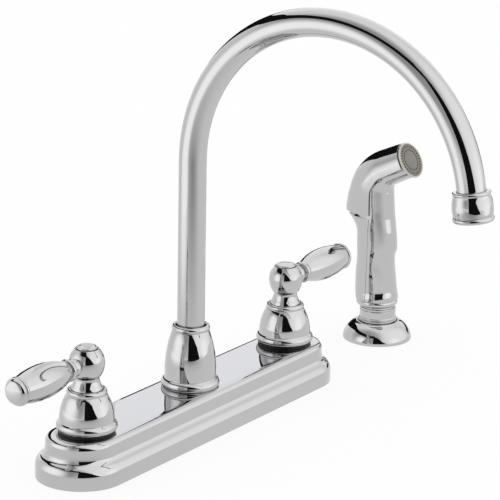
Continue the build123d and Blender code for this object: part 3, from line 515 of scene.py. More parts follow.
def plate_bmesh():
    """The plate's shell: its section is turned round one end, drawn along, and turned again.
    Its top and the face inside it are then filled round the three holes."""
    bm = bmesh.new()
    verts = [bm.verts.new((PLATE_END, -p.x, p.y)) for p in outline(*PLATE_SECTION)]
    edges = [bm.edges.new(pair) for pair in zip(verts, verts[1:])]
    for x in (PLATE_END, -PLATE_END):
        edges = swung(bm, verts + edges, (x, 0, 0), (0, 0, 1), math.pi, END_STEPS)
        for _ in range(SIDE_STEPS):
            verts, edges = drawn_out(bm, edges, (-2 * x / SIDE_STEPS, 0, 0))
    bmesh.ops.remove_doubles(bm, verts=bm.verts, dist=0.01)
    rims = {}
    for edge in bm.edges:
        if edge.is_boundary:
            rims.setdefault(round(edge.verts[0].co.z, 1), []).append(edge)
    walls = {}
    for rim in rims.values():
        height = rim[0].verts[0].co.z
        for x, radius in PLATE_HOLES:
            ring = circle_edges(bm, (x, 0, height), radius, HOLE_SIDES)
            walls.setdefault(x, []).extend(ring)
            rim += ring
        bmesh.ops.triangle_fill(bm, edges=rim, use_beauty=True, use_dissolve=False)
    for ring in walls.values():
        bmesh.ops.bridge_loops(bm, edges=ring)
    return bm


class FAUCET_OT_cover_plate(bpy.types.Operator):
    """Make the oval cover plate with its stepped and coved sides"""

    bl_idname = "faucet.cover_plate"
    bl_label = "Cover plate"

    def execute(self, context):
        new_piece("cover_plate", plate_bmesh(), "chrome", "base", ["deck_plate"])
        return {"FINISHED"}


# ---- Bells ----

# radius, height above the seal
HANDLE_BELL = (
    (11.7, 0),
    (16.9, 0),
    ("arc", (17.9, 2.3), (16.6, 4.7)),
    (16.15, 5.1),
    ("arc", (15.1, 13.4), (11.85, 21.0)),
    (11.5, 21.3),
    ("arc", (11.8, 22.9), (10.35, 24.35)),
    (9.9, 24.0),
    (9.75, 22.9),
    (6.1, 22.9),
    (6.1, 21.3),
    (10.2, 20.7),
    ("arc", (13.5, 13.0), (14.6, 8.4)),
    (11.7, 6.4),
)

# radius, height above the plate
SPOUT_BELL = (
    (13.6, 0),
    (16.8, 0),
    ("arc", (17.7, 2.8), (15.95, 5.2)),
    (15.6, 5.6),
    ("arc", (14.85, 20.5), (11.3, 35.0)),
    (11.0, 35.3),
    ("arc", (11.45, 37.3), (10.0, 38.65)),
    (9.5, 38.2),
    (9.2, 37.2),
    (9.2, 34.3),
    (9.8, 33.9),
    ("arc", (13.2, 25.0), (13.7, 17.5)),
    (13.6, 15.6),
)

BELL_SEAL = ((11.7, PLATE_TOP), (16.6, PLATE_TOP), (16.6, BELL_FOOT), (11.7, BELL_FOOT))


class FAUCET_OT_bells(bpy.types.Operator):
    """Make the two handle bells with their black seals, and the spout's bell"""

    bl_idname = "faucet.bells"
    bl_label = "Bells"

    def execute(self, context):
        for side, out in SIDES:
            bm = turned(outline(*HANDLE_BELL), x=out * HANDLE_X, z=BELL_FOOT, closed=True)
            new_piece(f"{side}_bell_shell", bm, "chrome", "base", [f"{side}_bell"])
            bm = turned(outline(*BELL_SEAL), x=out * HANDLE_X, closed=True)
            new_piece(f"{side}_bell_gasket", bm, "black_rubber", "base", [f"{side}_bell_seal"])
        bm = turned(outline(*SPOUT_BELL), z=PLATE_TOP, closed=True)
        new_piece("spout_bell_shell", bm, "chrome", "base", ["spout_bell"])
        return {"FINISHED"}


# ---- Handles ----

HUB_FOOT = 50.85
BALL_TOP = 75.9

# radius, height
HUB = (
    (0, HUB_FOOT),
    (9.3, HUB_FOOT),
    (9.3, 52.5),
    ("arc", (8.05, 55.1), (7.3, 58.0)),
    (7.4, 58.6),
    ("arc", (10.5, BALL_HEIGHT), (9.5, 72.4)),
    ("leave", (-0.53, 0.848), (7.05, BALL_TOP)),
    (6.75, BALL_TOP),
    (6.75, BALL_TOP - 1.2),
    (0, BALL_TOP - 1.2),
)

INDEX_CAP = (
    (0, 74.8),
    (6.15, 74.8),
    (6.15, 76.4),
    ("arc", (5.95, 76.95), (5.4, 77.15)),
    ("arc", (5.1, 77.05), (4.8, 76.85)),
    ("arc", (2.9, 77.25), (0.9, 77.4)),
    ("arc", (0.6, 77.3), (0, 77.2)),
)

# radius, way out from the ball's middle
COLLAR = (
    (3.1, 6.6),
    (4.4, 6.6),
    (4.4, 10.2),
    ("arc", (5.45, 12.7), (4.6, 15.4)),
    (4.5, 16.5),
    (5.8, 16.5),
    ("arc", (6.7, 18.1), (5.8, 19.7)),
    (3.1, 19.7),
)

LEVER = (
    (0, 19.7),
    (4.9, 19.7),
    (4.9, 20.2),
    (5.8, 20.2),
    ("arc", leaving_arc((10.2, 42.0), (0, -1), (5.8, 20.2)), (10.2, 42.0)),
    ("leave", (0, 1), (7.75, 61.3)),
    (0, 61.3),
)

LEVER_CAP = (
    (0, 61.3),
    (7.6, 61.3),
    (7.9, 61.5),
    ("arc", (8.5, 62.5), (8.0, 63.5)),
    (7.55, 63.65),
    ("arc", (6.7, 65.5), (4.9, 66.5)),
    ("arc", dome_middle((4.9, 66.5), (0, 67.1)), (0, 67.1)),
)


class FAUCET_OT_handles(bpy.types.Operator):
    """Make each handle: its ball on a flared neck, cap, collar, swelling lever and end cap"""

    bl_idname = "faucet.handles"
    bl_label = "Lever handles"

    def execute(self, context):
        for side, out in SIDES:
            upright = {"x": out * HANDLE_X}
            level = {**upright, "z": BALL_HEIGHT, "axis": (out, 0, 0), "across": (0, 0, 1)}
            for name, points, node, place in (
                ("ball", HUB, "handle_hub", upright),
                ("cap", INDEX_CAP, "index_cap", upright),
                ("collar", COLLAR, "lever_collar", {**level, "closed": True}),
                ("grip", LEVER, "lever", level),
                ("grip_cap", LEVER_CAP, "lever_cap", level),
            ):
                bm = turned(outline(*points), **place)
                new_piece(f"{side}_{name}", bm, "chrome", f"{side}_handle", [f"{side}_{node}"])
        return {"FINISHED"}


# ---- Spout and aerator ----

BEND_END = Vector(
    (
        0,
        -SPOUT_BEND * (1 - math.cos(OUTLET_ANGLE)),
        SPOUT_STRAIGHT + SPOUT_BEND * math.sin(OUTLET_ANGLE),
    )
)
OUTLET_DOWN = Vector((0, -math.sin(OUTLET_ANGLE), math.cos(OUTLET_ANGLE)))
SPOUT_FOOT = 41.5
OUTLET_REACH = 6.9
TUBE_WALL = 1.1
TUBE_SIDES = 72
RISER_STEPS = 10
BEND_STEPS = 110

# radius, way down from the end of the spout's bend
AERATOR = (
    (8.55, -1.6),
    (10.1, -1.6),
    ("arc", (11.0, -0.7), (10.6, 0.4)),
    (10.55, 0.6),
    ("arc", (11.8, 7.7), (11.4, 12.4)),
    (11.1, 12.7),
    ("arc", (11.85, 14.2), (10.8, 15.75)),
    (9.35, 15.75),
    (9.3, 14.8),
    (10.3, 14.8),
    (10.3, 0.4),
    (8.55, 0.4),
)


class FAUCET_OT_spout(bpy.types.Operator):
    """Make the high arched spout tube"""

    bl_idname = "faucet.spout"
    bl_label = "Spout"

    def execute(self, context):
        bm = bmesh.new()
        edges = circle_edges(bm, (0, 0, SPOUT_FOOT), TUBE_RADIUS, TUBE_SIDES)
        riser = (SPOUT_STRAIGHT - SPOUT_FOOT) / RISER_STEPS
        for _ in range(RISER_STEPS):
            verts, edges = drawn_out(bm, edges, (0, 0, riser))
        middle = (0, -SPOUT_BEND, SPOUT_STRAIGHT)
        edges = swung(bm, verts + edges, middle, (1, 0, 0), OUTLET_ANGLE, BEND_STEPS)
        drawn_out(bm, edges, OUTLET_DOWN * OUTLET_REACH)
        piece = new_piece("spout_arch", bm, "chrome", "spout", ["spout_tube"], bevel=False)
        wall = piece.modifiers.new("Tube wall", "SOLIDIFY")
        wall.thickness = TUBE_WALL * MM
        wall.offset = -1.0
        return {"FINISHED"}


class FAUCET_OT_aerator(bpy.types.Operator):
    """Make the aerator's bead and barrel at the spout's end"""

    bl_idname = "faucet.aerator"
    bl_label = "Aerator"

    def execute(self, context):
        place = {"y": BEND_END.y, "z": BEND_END.z, "axis": OUTLET_DOWN}
        bm = turned(outline(*AERATOR), closed=True, **place)
        new_piece("aerator_barrel", bm, "chrome", "spout", ["aerator_shell"])
        return {"FINISHED"}


# ---- Side spray ----

# radius, height
HOLDER = (
    (12.6, -38.0),
    (14.2, -38.0),
    (14.2, -27.0),
    (13.5, -27.0),
    (13.5, -25.5),
    (14.2, -25.5),
    (14.2, 1.4),
    (20.9, 1.4),
    (20.9, 0.0),
    (22.7, 0.0),
    (22.7, 1.5),
    ("arc", (19.7, 7.9), (14.5, 11.8)),
    ("arc", (13.7, 12.2), (13.0, 11.7)),
    (12.6, 10.8),
)

COUPLING = (
    (4.5, -14.0),
    (9.0, -14.0),
    (11.6, -2.0),
    (11.6, 12.55),
    (12.4, 12.55),
    (12.4, 13.4),
    (11.75, 13.7),
    (11.75, 14.0),
    (12.2, 14.2),
    (12.2, 14.9),
    (11.9, 15.2),
    (11.9, 19.9),
    (11.5, 20.05),
    (11.5, 20.35),
    (11.9, 20.5),
    (11.9, 21.6),
    (10.9, 21.8),
    (10.9, 22.8),
    (8.0, 22.8),
    (8.0, 10.0),
    (4.5, 6.0),
)

SPRAY_COLLAR = (
    (8.0, 22.8),
    (12.0, 22.8),
    ("arc", (13.75, 25.2), (12.9, 27.3)),
    (8.0, 27.3),
)

BEAD_BACK = 0.9
GRIP_FOOT = 27.3
GRIP_TOP = 101.2
GRIP_BACK_AT_FOOT = 1.2
GRIP_BACK_AT_TOP = 4.2
LEDGE = 83.2
SEAM_Y = 2.0
HEAD_TILT = math.radians(28.0)
HEAD_BEND = 16.2
HEAD_REACH = 18.6
HEAD_AHEAD = Vector((0, -math.cos(HEAD_TILT), math.sin(HEAD_TILT)))
HEAD_BACK = Vector((0, math.sin(HEAD_TILT), math.cos(HEAD_TILT)))
BEND_MIDDLE = Vector((SPRAY_X, GRIP_BACK_AT_TOP - HEAD_BEND, GRIP_TOP))
HEAD_START = BEND_MIDDLE + HEAD_BEND * HEAD_BACK
BEND_END_ALONG = GRIP_TOP + HEAD_BEND * (math.pi / 2 - HEAD_TILT)
HEAD_END_ALONG = BEND_END_ALONG + HEAD_REACH


def path_place(along):
    """Point and back direction on the spray's middle line. Along is a length: heights up to the
    bend, then the bend's arc, then the head."""
    if along <= GRIP_TOP:
        rise = (along - GRIP_FOOT) / (GRIP_TOP - GRIP_FOOT)
        y = GRIP_BACK_AT_FOOT + (GRIP_BACK_AT_TOP - GRIP_BACK_AT_FOOT) * rise
        return Vector((SPRAY_X, y, along)), Vector((0, 1, 0))
    if along <= BEND_END_ALONG:
        angle = (along - GRIP_TOP) / HEAD_BEND
        back = Vector((0, math.cos(angle), math.sin(angle)))
        return BEND_MIDDLE + back * HEAD_BEND, back
    return HEAD_START + HEAD_AHEAD * (along - BEND_END_ALONG), HEAD_BACK


def smooth_row(rows, along):
    """Row of sizes at a place, from a smooth line through a table's rows."""
    if along <= rows[0][0]:
        return rows[0][1:]
    if along >= rows[-1][0]:
        return rows[-1][1:]
    i = max(k for k in range(len(rows) - 1) if rows[k][0] <= along)
    lead, low, high, tail = (rows[min(max(i + k, 0), len(rows) - 1)] for k in (-1, 0, 1, 2))
    span = high[0] - low[0]
    t = (along - low[0]) / span
    t2, t3 = t * t, t * t * t
    out = []
    for k in range(1, len(low)):
        low_slope = (high[k] - lead[k]) / (high[0] - lead[0]) * span
        high_slope = (tail[k] - low[k]) / (tail[0] - low[0]) * span
        out.append(
            (2 * t3 - 3 * t2 + 1) * low[k]
            + (t3 - 2 * t2 + t) * low_slope
            + (3 * t2 - 2 * t3) * high[k]
            + (t3 - t2) * high_slope
        )
    return out


def stations(low, high, step):
    """Evenly spaced places from low to high, both included."""
    count = max(1, math.ceil((high - low) / step))
    return [low + (high - low) * i / count for i in range(count + 1)]


RING_POINTS = 96
GRIP_STEP = 1.6
LEVER_STEP = 1.2
LEVER_ARC_STEPS = 40
LEVER_WALL = 1.0
LEDGE_FACE, WALL_FACE = 0.05, 0.02  # rings so close together make a step
END_WALL_REACH = 16.0  # from the middle line back to the lower edge of the lever's end wall

# along, half width, reach to the front, reach to the back
GRIP = (
    (GRIP_FOOT, 14.1, 14.2, 13.8),
    (29.2, 13.95, 14.4, 14.1),
    (32.4, 13.25, 13.95, 14.6),
    (35.6, 13.05, 13.55, 14.55),
    (41, 12.95, 13.1, 14.27),
    (46.5, 12.85, 12.5, 13.95),
    (52.4, 12.5, 12.22, 13.12),
    (57.5, 12.35, 12.7, 12.9),
    (61.5, 12.45, 14.2, 13.0),
    (66, 12.3, 14.45, 12.9),
    (72, 12.1, 14.12, 12.85),
    (77, 11.95, 13.68, 14.4),
    (LEDGE, 11.75, 13.05, 19.8),
)
CORE = (
    (LEDGE, 11.75, 13.05, 12.15),
    (89, 11.5, 12.75, 12.1),
    (GRIP_TOP, 11.4, 12.2, 12.1),
    ((GRIP_TOP + BEND_END_ALONG) / 2, 11.2, 11.7, 11.7),
    (BEND_END_ALONG, 10.9, 10.9, 10.9),
    (HEAD_END_ALONG, 10.9, 10.9, 10.9),
)
# along, outer half width, outer reach to the back, skirt below the middle
THUMB_LEVER = (
    (85.4, 12.85, 21.8, 2.0),
    (88, 12.9, 21.7, 2.0),
    (91, 12.9, 21.15, 2.0),
    (97, 12.9, 19.85, 2.2),
    (101.8, 12.9, 18.05, 2.6),
    (108, 12.8, 15.55, 3.6),
    (113.9, 12.7, 14.15, 3.6),
    (BEND_END_ALONG, 12.6, 13.45, 3.6),
    (BEND_END_ALONG + 9, 12.5, 12.95, 3.4),
    (HEAD_END_ALONG - 0.5, 12.35, 12.35, 3.2),
)


def ellipse_ring(along, table, near=-100.0, far=100.0):
    """Points of an ellipse-like section. Its depth is cut off at near and far."""
    middle, back = path_place(along)
    half, front, rear = smooth_row(table, along)
    points = []
    for i in range(RING_POINTS):
        angle = math.tau * i / RING_POINTS
        reach = rear if math.sin(angle) > 0 else front
        point = middle + Vector((half * math.cos(angle), 0, 0)) + back * reach * math.sin(angle)
        points.append(Vector((point.x, min(max(point.y, near), far), point.z)))
    return points


def hood(half, reach, skirt):
    """Points from a skirt's foot at the right over half an ellipse to the skirt at the left."""
    angles = [math.pi * i / LEVER_ARC_STEPS for i in range(LEVER_ARC_STEPS + 1)]
    arc = [(half * math.cos(angle), reach * math.sin(angle)) for angle in angles]
    return [(half, -skirt), *arc, (-half, -skirt)]


def lever_ring(along, depth=None):
    """Points of the thumb lever's section: an open shell with two skirts. Depth is how far the
    hollow reaches to the back."""
    middle, back = path_place(along)
    half, reach, skirt = smooth_row(THUMB_LEVER, along)
    hollow = hood(half - LEVER_WALL, depth or reach - LEVER_WALL, skirt)
    loop = hood(half, reach, skirt) + [(-x, y) for x, y in hollow]
    return [middle + Vector((x, 0, 0)) + back * y for x, y in loop]


# radius, way ahead of the head's end
NOZZLE_RIM = (
    (7.6, -5.0),
    (8.95, -5.0),
    (8.95, 0.0),
    (11.6, 0.0),
    (11.85, 0.4),
    (11.85, 0.9),
    ("arc", (11.6, 1.4), (11.1, 1.5)),
    (10.8, 1.4),
    (10.7, 0.2),
    (7.6, 0.2),
)
SLOTTED_RING = 1.0
NOZZLE_FACE = (
    (0, 0.2),
    (10.65, 0.2),
    (10.65, SLOTTED_RING),
    (10.4, 1.2),
    (7.3, 1.2),
    (7.1, 0.55),
    (6.7, 0.55),
    (6.5, 1.2),
    (6.2, 1.4),
    ("arc", (3.2, 1.6), (0, 1.7)),
)
SLOT_COUNT = 30
SLOT_RADIUS = 9.2
SLOT_SIZE = (1.5, 0.8, 1.0, 1.0)  # along the radius, across it and deep


class FAUCET_OT_side_spray(bpy.types.Operator):
    """Make the side spray: grip, rear cover, thumb lever, nozzle, collar and coupling"""

    bl_idname = "faucet.side_spray"
    bl_label = "Side spray"

    def execute(self, context):
        gap = context.scene.faucet_sizes.seam_width / MM / 2
        places = stations(GRIP_FOOT, LEDGE, GRIP_STEP)
        core_places = stations(LEDGE + LEDGE_FACE, HEAD_END_ALONG, GRIP_STEP)
        rings = [ellipse_ring(along, GRIP, far=SEAM_Y - gap) for along in places]
        rings += [ellipse_ring(along, CORE) for along in core_places]
        new_piece("spray_grip", bridged(rings), "chrome", "spray", ["spray_shell"])
        rings = [ellipse_ring(along, GRIP, near=SEAM_Y + gap) for along in places]
        new_piece("spray_rear_cover", bridged(rings), "chrome", "spray", ["spray_back"])
        foot, tip = THUMB_LEVER[0][0], THUMB_LEVER[-1][0]
        ends = (foot, foot + LEVER_WALL)
        rings = [lever_ring(along, END_WALL_REACH) for along in ends]
        places = stations(foot + LEVER_WALL + WALL_FACE, tip, LEVER_STEP)
        rings += [lever_ring(along) for along in places]
        new_piece("thumb_lever", bridged(rings), "chrome", "trigger", ["trigger"])
        bm = turned(outline(*SPRAY_COLLAR), x=SPRAY_X, y=BEAD_BACK, closed=True)
        new_piece("spray_bead", bm, "chrome", "spray", ["spray_collar"])
        bm = turned(outline(*COUPLING), x=SPRAY_X, closed=True)
        new_piece("spray_foot", bm, "chrome", "spray", ["spray_coupling"])
        self.nozzle()
        return {"FINISHED"}

    def nozzle(self):
        """The pale rim and the grey face with its ring of slots."""
        front = HEAD_START + HEAD_AHEAD * HEAD_REACH
        place = dict(zip("xyz", front), axis=HEAD_AHEAD, across=HEAD_BACK)
        bm = turned(outline(*NOZZLE_RIM), closed=True, **place)
        new_piece("nozzle_ring", bm, "pale_rim", "spray", ["nozzle_rim"])
        bm = turned(outline(*NOZZLE_FACE), **place)
        disc = new_piece("nozzle_disc", bm, "grey_face", "spray", ["nozzle_face"], bevel=False)
        slots = bmesh.new()
        for i in range(SLOT_COUNT):
            angle = math.tau * i / SLOT_COUNT
            radial = HEAD_BACK * math.cos(angle) + Vector((1, 0, 0)) * math.sin(angle)
            turn = Matrix((radial, HEAD_AHEAD.cross(radial), HEAD_AHEAD)).transposed().to_4x4()
            middle = front + radial * SLOT_RADIUS + HEAD_AHEAD * SLOTTED_RING
            place = Matrix.Translation(middle) @ turn @ Matrix.Diagonal(SLOT_SIZE)
            bmesh.ops.create_cube(slots, size=1.0, matrix=place)
        self.cut(disc, slots)

    @staticmethod
    def cut(piece, cutters):
        """Cut the cutters' boxes, in millimetres, out of a piece and keep the result."""
        bmesh.ops.scale(cutters, vec=(MM, MM, MM), verts=cutters.verts)
        mesh = bpy.data.meshes.new("cutters")
        cutters.to_mesh(mesh)
        cutters.free()
        cutter = bpy.data.objects.new("cutters", mesh)
        bpy.context.scene.collection.objects.link(cutter)
        slots = piece.modifiers.new("Slots", "BOOLEAN")
        slots.operation = "DIFFERENCE"
        slots.solver = "EXACT"
        slots.object = cutter
        bpy.context.view_layer.update()
        graph = bpy.context.evaluated_depsgraph_get()
        solid = bpy.data.meshes.new_from_object(piece.evaluated_get(graph))
        piece.modifiers.clear()
        piece.data = solid
        bpy.data.objects.remove(cutter)


class FAUCET_OT_spray_holder(bpy.types.Operator):
    """Make the domed holder that the side spray stands in"""

    bl_idname = "faucet.spray_holder"
    bl_label = "Spray holder"

    def execute(self, context):
        bm = turned(outline(*HOLDER), x=SPRAY_X, closed=True)
        new_piece("holder_dome", bm, "chrome", "base", ["spray_holder"])
        return {"FINISHED"}


# ---- Carried-over CAD nodes ----


class FAUCET_OT_inner_parts(bpy.types.Operator):
    """Give the carried-over valve, shank and fixing nodes their finishes"""

    bl_idname = "faucet.inner_parts"
    bl_label = "Inner parts"

    def execute(self, context):
        slots = {row["node"]: row["material_slot"] for row in frame["record"]["subparts"]}
        for name, node in frame["nodes"].items():
            node.data.materials.clear()
            node.data.materials.append(finish(slots[name]))
        return {"FINISHED"}


# ---- Studio ----

CAMERA_PLACE = Vector((-1324.18, -947.76, 598.29))
CAMERA_AHEAD = Vector((0.79069, 0.54086, -0.28683)).normalized()
CAMERA_ROLL = math.radians(1.01)
FOCAL_PIXELS = 2857.11
PHOTO_WIDTH = 500
SENSOR_WIDTH = 36.0
TOWARD_CAMERA = Vector((-CAMERA_AHEAD.x, -CAMERA_AHEAD.y, 0)).normalized()
CAMERA_RIGHT = CAMERA_AHEAD.cross(Vector((0, 0, 1))).normalized()
ARCH_MIDDLE = Vector((0, -SPOUT_BEND, 250))


def standing(ahead, right, height):
    """Point of the studio: so far from the spout toward the camera, to its right and up."""
    return TOWARD_CAMERA * ahead + CAMERA_RIGHT * right + Vector((0, 0, height))


def seen(azimuth, elevation, distance):
    """Point of the studio by its bearing in degrees from the top of the spout, where 0 is
    toward the camera and 90 is to the camera's right, and by its level distance."""
    turn = math.radians(azimuth)
    level = TOWARD_CAMERA * math.cos(turn) + CAMERA_RIGHT * math.sin(turn)
    rise = distance * math.tan(math.radians(elevation))
    return ARCH_MIDDLE + level * distance + Vector((0, 0, rise))


def toward(azimuth, elevation):
    """Direction of a bearing in degrees, as seen() has it."""
    return (seen(azimuth, elevation, 1.0) - ARCH_MIDDLE).normalized()


def fading(tree, place, centre, near, far, low, high):
    """A value that goes from high within near of a point to low beyond far, in millimetres."""
    reach = add_node(tree, "ShaderNodeVectorMath", [(place, 0)], operation="DISTANCE")
    reach.inputs[1].default_value = centre * MM
    spread = add_node(
        tree,
        "ShaderNodeMapRange",
        [(reach.outputs["Value"], "Value")],
        interpolation_type="SMOOTHSTEP",
        From_Min=near * MM,
        From_Max=far * MM,
        To_Min=high,
        To_Max=low,
    )
    return spread.outputs["Result"]


def split_by_ray(tree, rest, views):
    """Shader that shows each named kind of ray its own view, and all others the rest."""
    path = add_node(tree, "ShaderNodeLightPath")
    for ray, view in views.items():
        links = [(path.outputs[ray], 0), (rest.outputs[0], 1), (view.outputs[0], 2)]
        rest = add_node(tree, "ShaderNodeMixShader", links)
    return rest.outputs[0]


def studio_piece(name, bm, material):
    """An object of the studio from a bmesh in millimetres."""
    bmesh.ops.scale(bm, vec=(MM, MM, MM), verts=bm.verts)
    mesh = bpy.data.meshes.new(name)
    bm.to_mesh(mesh)
    bm.free()
    mesh.materials.append(material)
    piece = bpy.data.objects.new(name, mesh)
    bpy.context.scene.collection.objects.link(piece)
    return piece


def card(name, bm, material):
    """A card of the studio that only reflections show."""
    piece = studio_piece(name, bm, material)
    piece.visible_camera = False
    piece.visible_diffuse = False
    piece.visible_shadow = False


def fence(name, posts, material):
    """A card that stands along posts, each given by its foot and its top."""
    bm = bmesh.new()
    sides = [[bm.verts.new(point) for point in post] for post in posts]
    for (foot, top), (next_foot, next_top) in zip(sides, sides[1:]):
        bm.faces.new((foot, next_foot, next_top, top))
    card(name, bm, material)


# azimuth, elevation, how far it is full and how far it reaches in degrees, colour
ROOM_GLOWS = (
    (0, 90, 10, 55, (1.17, 1.17, 1.17)),
    (75, 20, 25, 62, (1.3, 1.29, 1.27)),
    (180, 22, 16, 48, (1.19, 1.195, 1.23)),
    (-48, 34, 14, 58, (0.42, 0.42, 0.42)),
)
ROOM_LEVEL = 0.91
FILL_LEVEL = 0.8

FLOOR_RADIUS = 3000.0
# what metal sees of the floor, a painted pool of light and painted shade: middle, how far it is
# full and how far it reaches, levels
FLOOR_PAINTED_GLOW = (standing(200, -520, 0), 150, 400, ROOM_LEVEL, 1.4)
FLOOR_PAINTED_SHADE = (standing(680, 20, 0), 0, 680, 1.0, 0.42)
WHITE_SHARE = 0.78
WHITE_LEVEL = 1.08

# middle, how far it is full and how far it reaches
SOFT_BOXES = {
    "soft_box_left": (standing(190, -420, 150), 70, 390),
    "soft_box_right": (standing(230, 800, 110), 80, 450),
}
ROUND_SIDES = 64

# toward the camera, right of the middle
SPRAY_CARD = ((-287, -117), (-27, -47))
SPRAY_CARD_FOOT, SPRAY_CARD_TOP = 0.5, 320
SPRAY_CARD_LEVEL = 0.93

# right of the middle, height
BLACK_CARD = (
    (-130, 0),
    (672, 0),
    (500, 150),
    (420, 240),
    (345, 350),
    (300, 450),
    (210, 560),
    (150, 670),
    (60, 770),
    (-66, 880),
    (-130, 940),
)
BLACK_CARD_AHEAD = 720
BLACK_LEVEL = 0.008

# azimuth, lower and upper elevation, distance
BLACK_RAIL = (
    (-14, 30, 47, 670),
    (-40, 29, 47, 650),
    (-60, 28, 47, 800),
    (-90, 28, 44, 1100),
    (-110, 26, 41, 1400),
    (-120, 26, 39, 1600),
    (-130, 21, 38, 2000),
    (-140, 14, 35, 2300),
    (-150, 6, 28, 2500),
    (-160, -3, 19, 2500),
    (-168, -7, 11, 2500),
    (-180, -7, 1, 2500),
)

# a low board behind the object
SKIRTING_AZIMUTHS = range(140, 196, 5)
SKIRTING_DISTANCE = 1150
SKIRTING_HEIGHT = 175


class FAUCET_OT_studio(bpy.types.Operator):
    """Make the floor, the soft light, the cards and the camera"""

    bl_idname = "faucet.studio"
    bl_label = "Studio"

    def execute(self, context):
        scene = context.scene
        scene.view_settings.view_transform = "Standard"
        self.world(scene)
        self.floor(scene.faucet_studio.floor_colour)
        self.soft_boxes(scene.faucet_studio.box_strength)
        self.spray_card()
        if scene.faucet_studio.show_cards:
            self.black_cards()
        self.camera(scene)
        return {"FINISHED"}

    def world(self, scene):
        """White for the camera and plain soft light for the rest. The chrome sees a pale room,
        brighter overhead, behind and on the right, and greyer round the black rail."""
        world = bpy.data.worlds.new("studio")
        scene.world = world
        world.use_nodes = True
        tree = world.node_tree
        tree.nodes.clear()
        place = add_node(tree, "ShaderNodeTexCoord").outputs["Generated"]
        room = None
        for azimuth, elevation, inner, outer, colour in ROOM_GLOWS:
            facing = add_node(tree, "ShaderNodeVectorMath", [(place, 0)], operation="DOT_PRODUCT")
            facing.inputs[1].default_value = toward(azimuth, elevation)
            share = add_node(
                tree,
                "ShaderNodeMapRange",
                [(facing.outputs["Value"], "Value")],
                interpolation_type="SMOOTHSTEP",
                From_Min=math.cos(math.radians(outer)),
                From_Max=math.cos(math.radians(inner)),
            )
            links = [(share.outputs["Result"], "Factor")] + ([(room, 6)] if room else [])
            glow = add_node(tree, "ShaderNodeMix", links, data_type="RGBA")
            glow.inputs[6].default_value = (ROOM_LEVEL, ROOM_LEVEL, ROOM_LEVEL, 1)
            glow.inputs[7].default_value = (*colour, 1)
            room = glow.outputs[2]
        plain = add_node(tree, "ShaderNodeBackground", Color=(1, 1, 1, 1), Strength=FILL_LEVEL)
        white = add_node(tree, "ShaderNodeBackground", Color=(1, 1, 1, 1), Strength=1.0)
        mirrored = add_node(tree, "ShaderNodeBackground", [(room, "Color")], Strength=1.0)
        views = {"Is Glossy Ray": mirrored, "Is Transmission Ray": white, "Is Camera Ray": white}
        light = split_by_ray(tree, plain, views)
        add_node(tree, "ShaderNodeOutputWorld", [(light, "Surface")])

    def floor(self, colour):
        """A pale floor at the height of the sink deck. It keeps a faint shadow, and metal sees it
        with a painted pool of light by the left soft box and painted shade toward the black card."""
        material, tree, place = empty_material("matt white paper")
        paper = add_node(tree, "ShaderNodeBsdfDiffuse", Color=(*colour, 1))
        # painted pool of light and painted shade in the floor's emission, which only glossy rays
        # see
        glow = fading(tree, place, *FLOOR_PAINTED_GLOW)
        shade = fading(tree, place, *FLOOR_PAINTED_SHADE)
        level = add_node(tree, "ShaderNodeMath", [(glow, 0), (shade, 1)], operation="MULTIPLY")
        mirrored = add_node(tree, "ShaderNodeEmission", [(level.outputs[0], "Strength")])
        white = add_node(tree, "ShaderNodeEmission", Strength=WHITE_LEVEL)
        links = [(paper.outputs[0], 1), (white.outputs[0], 2)]
        shadowed = add_node(tree, "ShaderNodeMixShader", links)
        shadowed.inputs[0].default_value = WHITE_SHARE
        views = {"Is Glossy Ray": mirrored, "Is Camera Ray": shadowed}
        surface = split_by_ray(tree, paper, views)
        add_node(tree, "ShaderNodeOutputMaterial", [(surface, "Surface")])
        bm = bmesh.new()
        bmesh.ops.create_circle(bm, cap_ends=True, radius=FLOOR_RADIUS, segments=ROUND_SIDES)
        floor = studio_piece("floor", bm, material)

    def soft_boxes(self, strength):
        """Two round soft boxes, left and right of the camera, that fade away at their edges."""
        for name, (middle, core, edge) in SOFT_BOXES.items():
            material, tree, place = empty_material(name)
            share = fading(tree, place, middle, core, edge, 0.0, 1.0)
            lamp = add_node(tree, "ShaderNodeEmission", Strength=strength)
            clear = add_node(tree, "ShaderNodeBsdfTransparent")
            links = [(share, 0), (clear.outputs[0], 1), (lamp.outputs[0], 2)]
            faded = add_node(tree, "ShaderNodeMixShader", links)
            add_node(tree, "ShaderNodeOutputMaterial", [(faded.outputs[0], "Surface")])
            inward = Vector((0, 0, middle.z)) - middle
            turn = inward.to_track_quat("Z", "Y").to_matrix().to_4x4()
            bm = bmesh.new()
            bmesh.ops.create_circle(
                bm,
                cap_ends=True,
                radius=edge,
                segments=ROUND_SIDES,
                matrix=Matrix.Translation(middle) @ turn,
            )
            card(name, bm, material)

    def spray_card(self):
        """A pale card beside the side spray. Its back is clear, so only the spray shows it."""
        material, tree, _ = empty_material("pale spray card")
        facing = add_node(tree, "ShaderNodeNewGeometry").outputs["Backfacing"]
        lamp = add_node(tree, "ShaderNodeEmission", Strength=SPRAY_CARD_LEVEL)
        clear = add_node(tree, "ShaderNodeBsdfTransparent")
        links = [(facing, 0), (lamp.outputs[0], 1), (clear.outputs[0], 2)]
        sided = add_node(tree, "ShaderNodeMixShader", links)
        add_node(tree, "ShaderNodeOutputMaterial", [(sided.outputs[0], "Surface")])
        heights = (SPRAY_CARD_FOOT, SPRAY_CARD_TOP)
        posts = [[standing(*end, height) for height in heights] for end in SPRAY_CARD]
        fence("spray_card", posts, material)

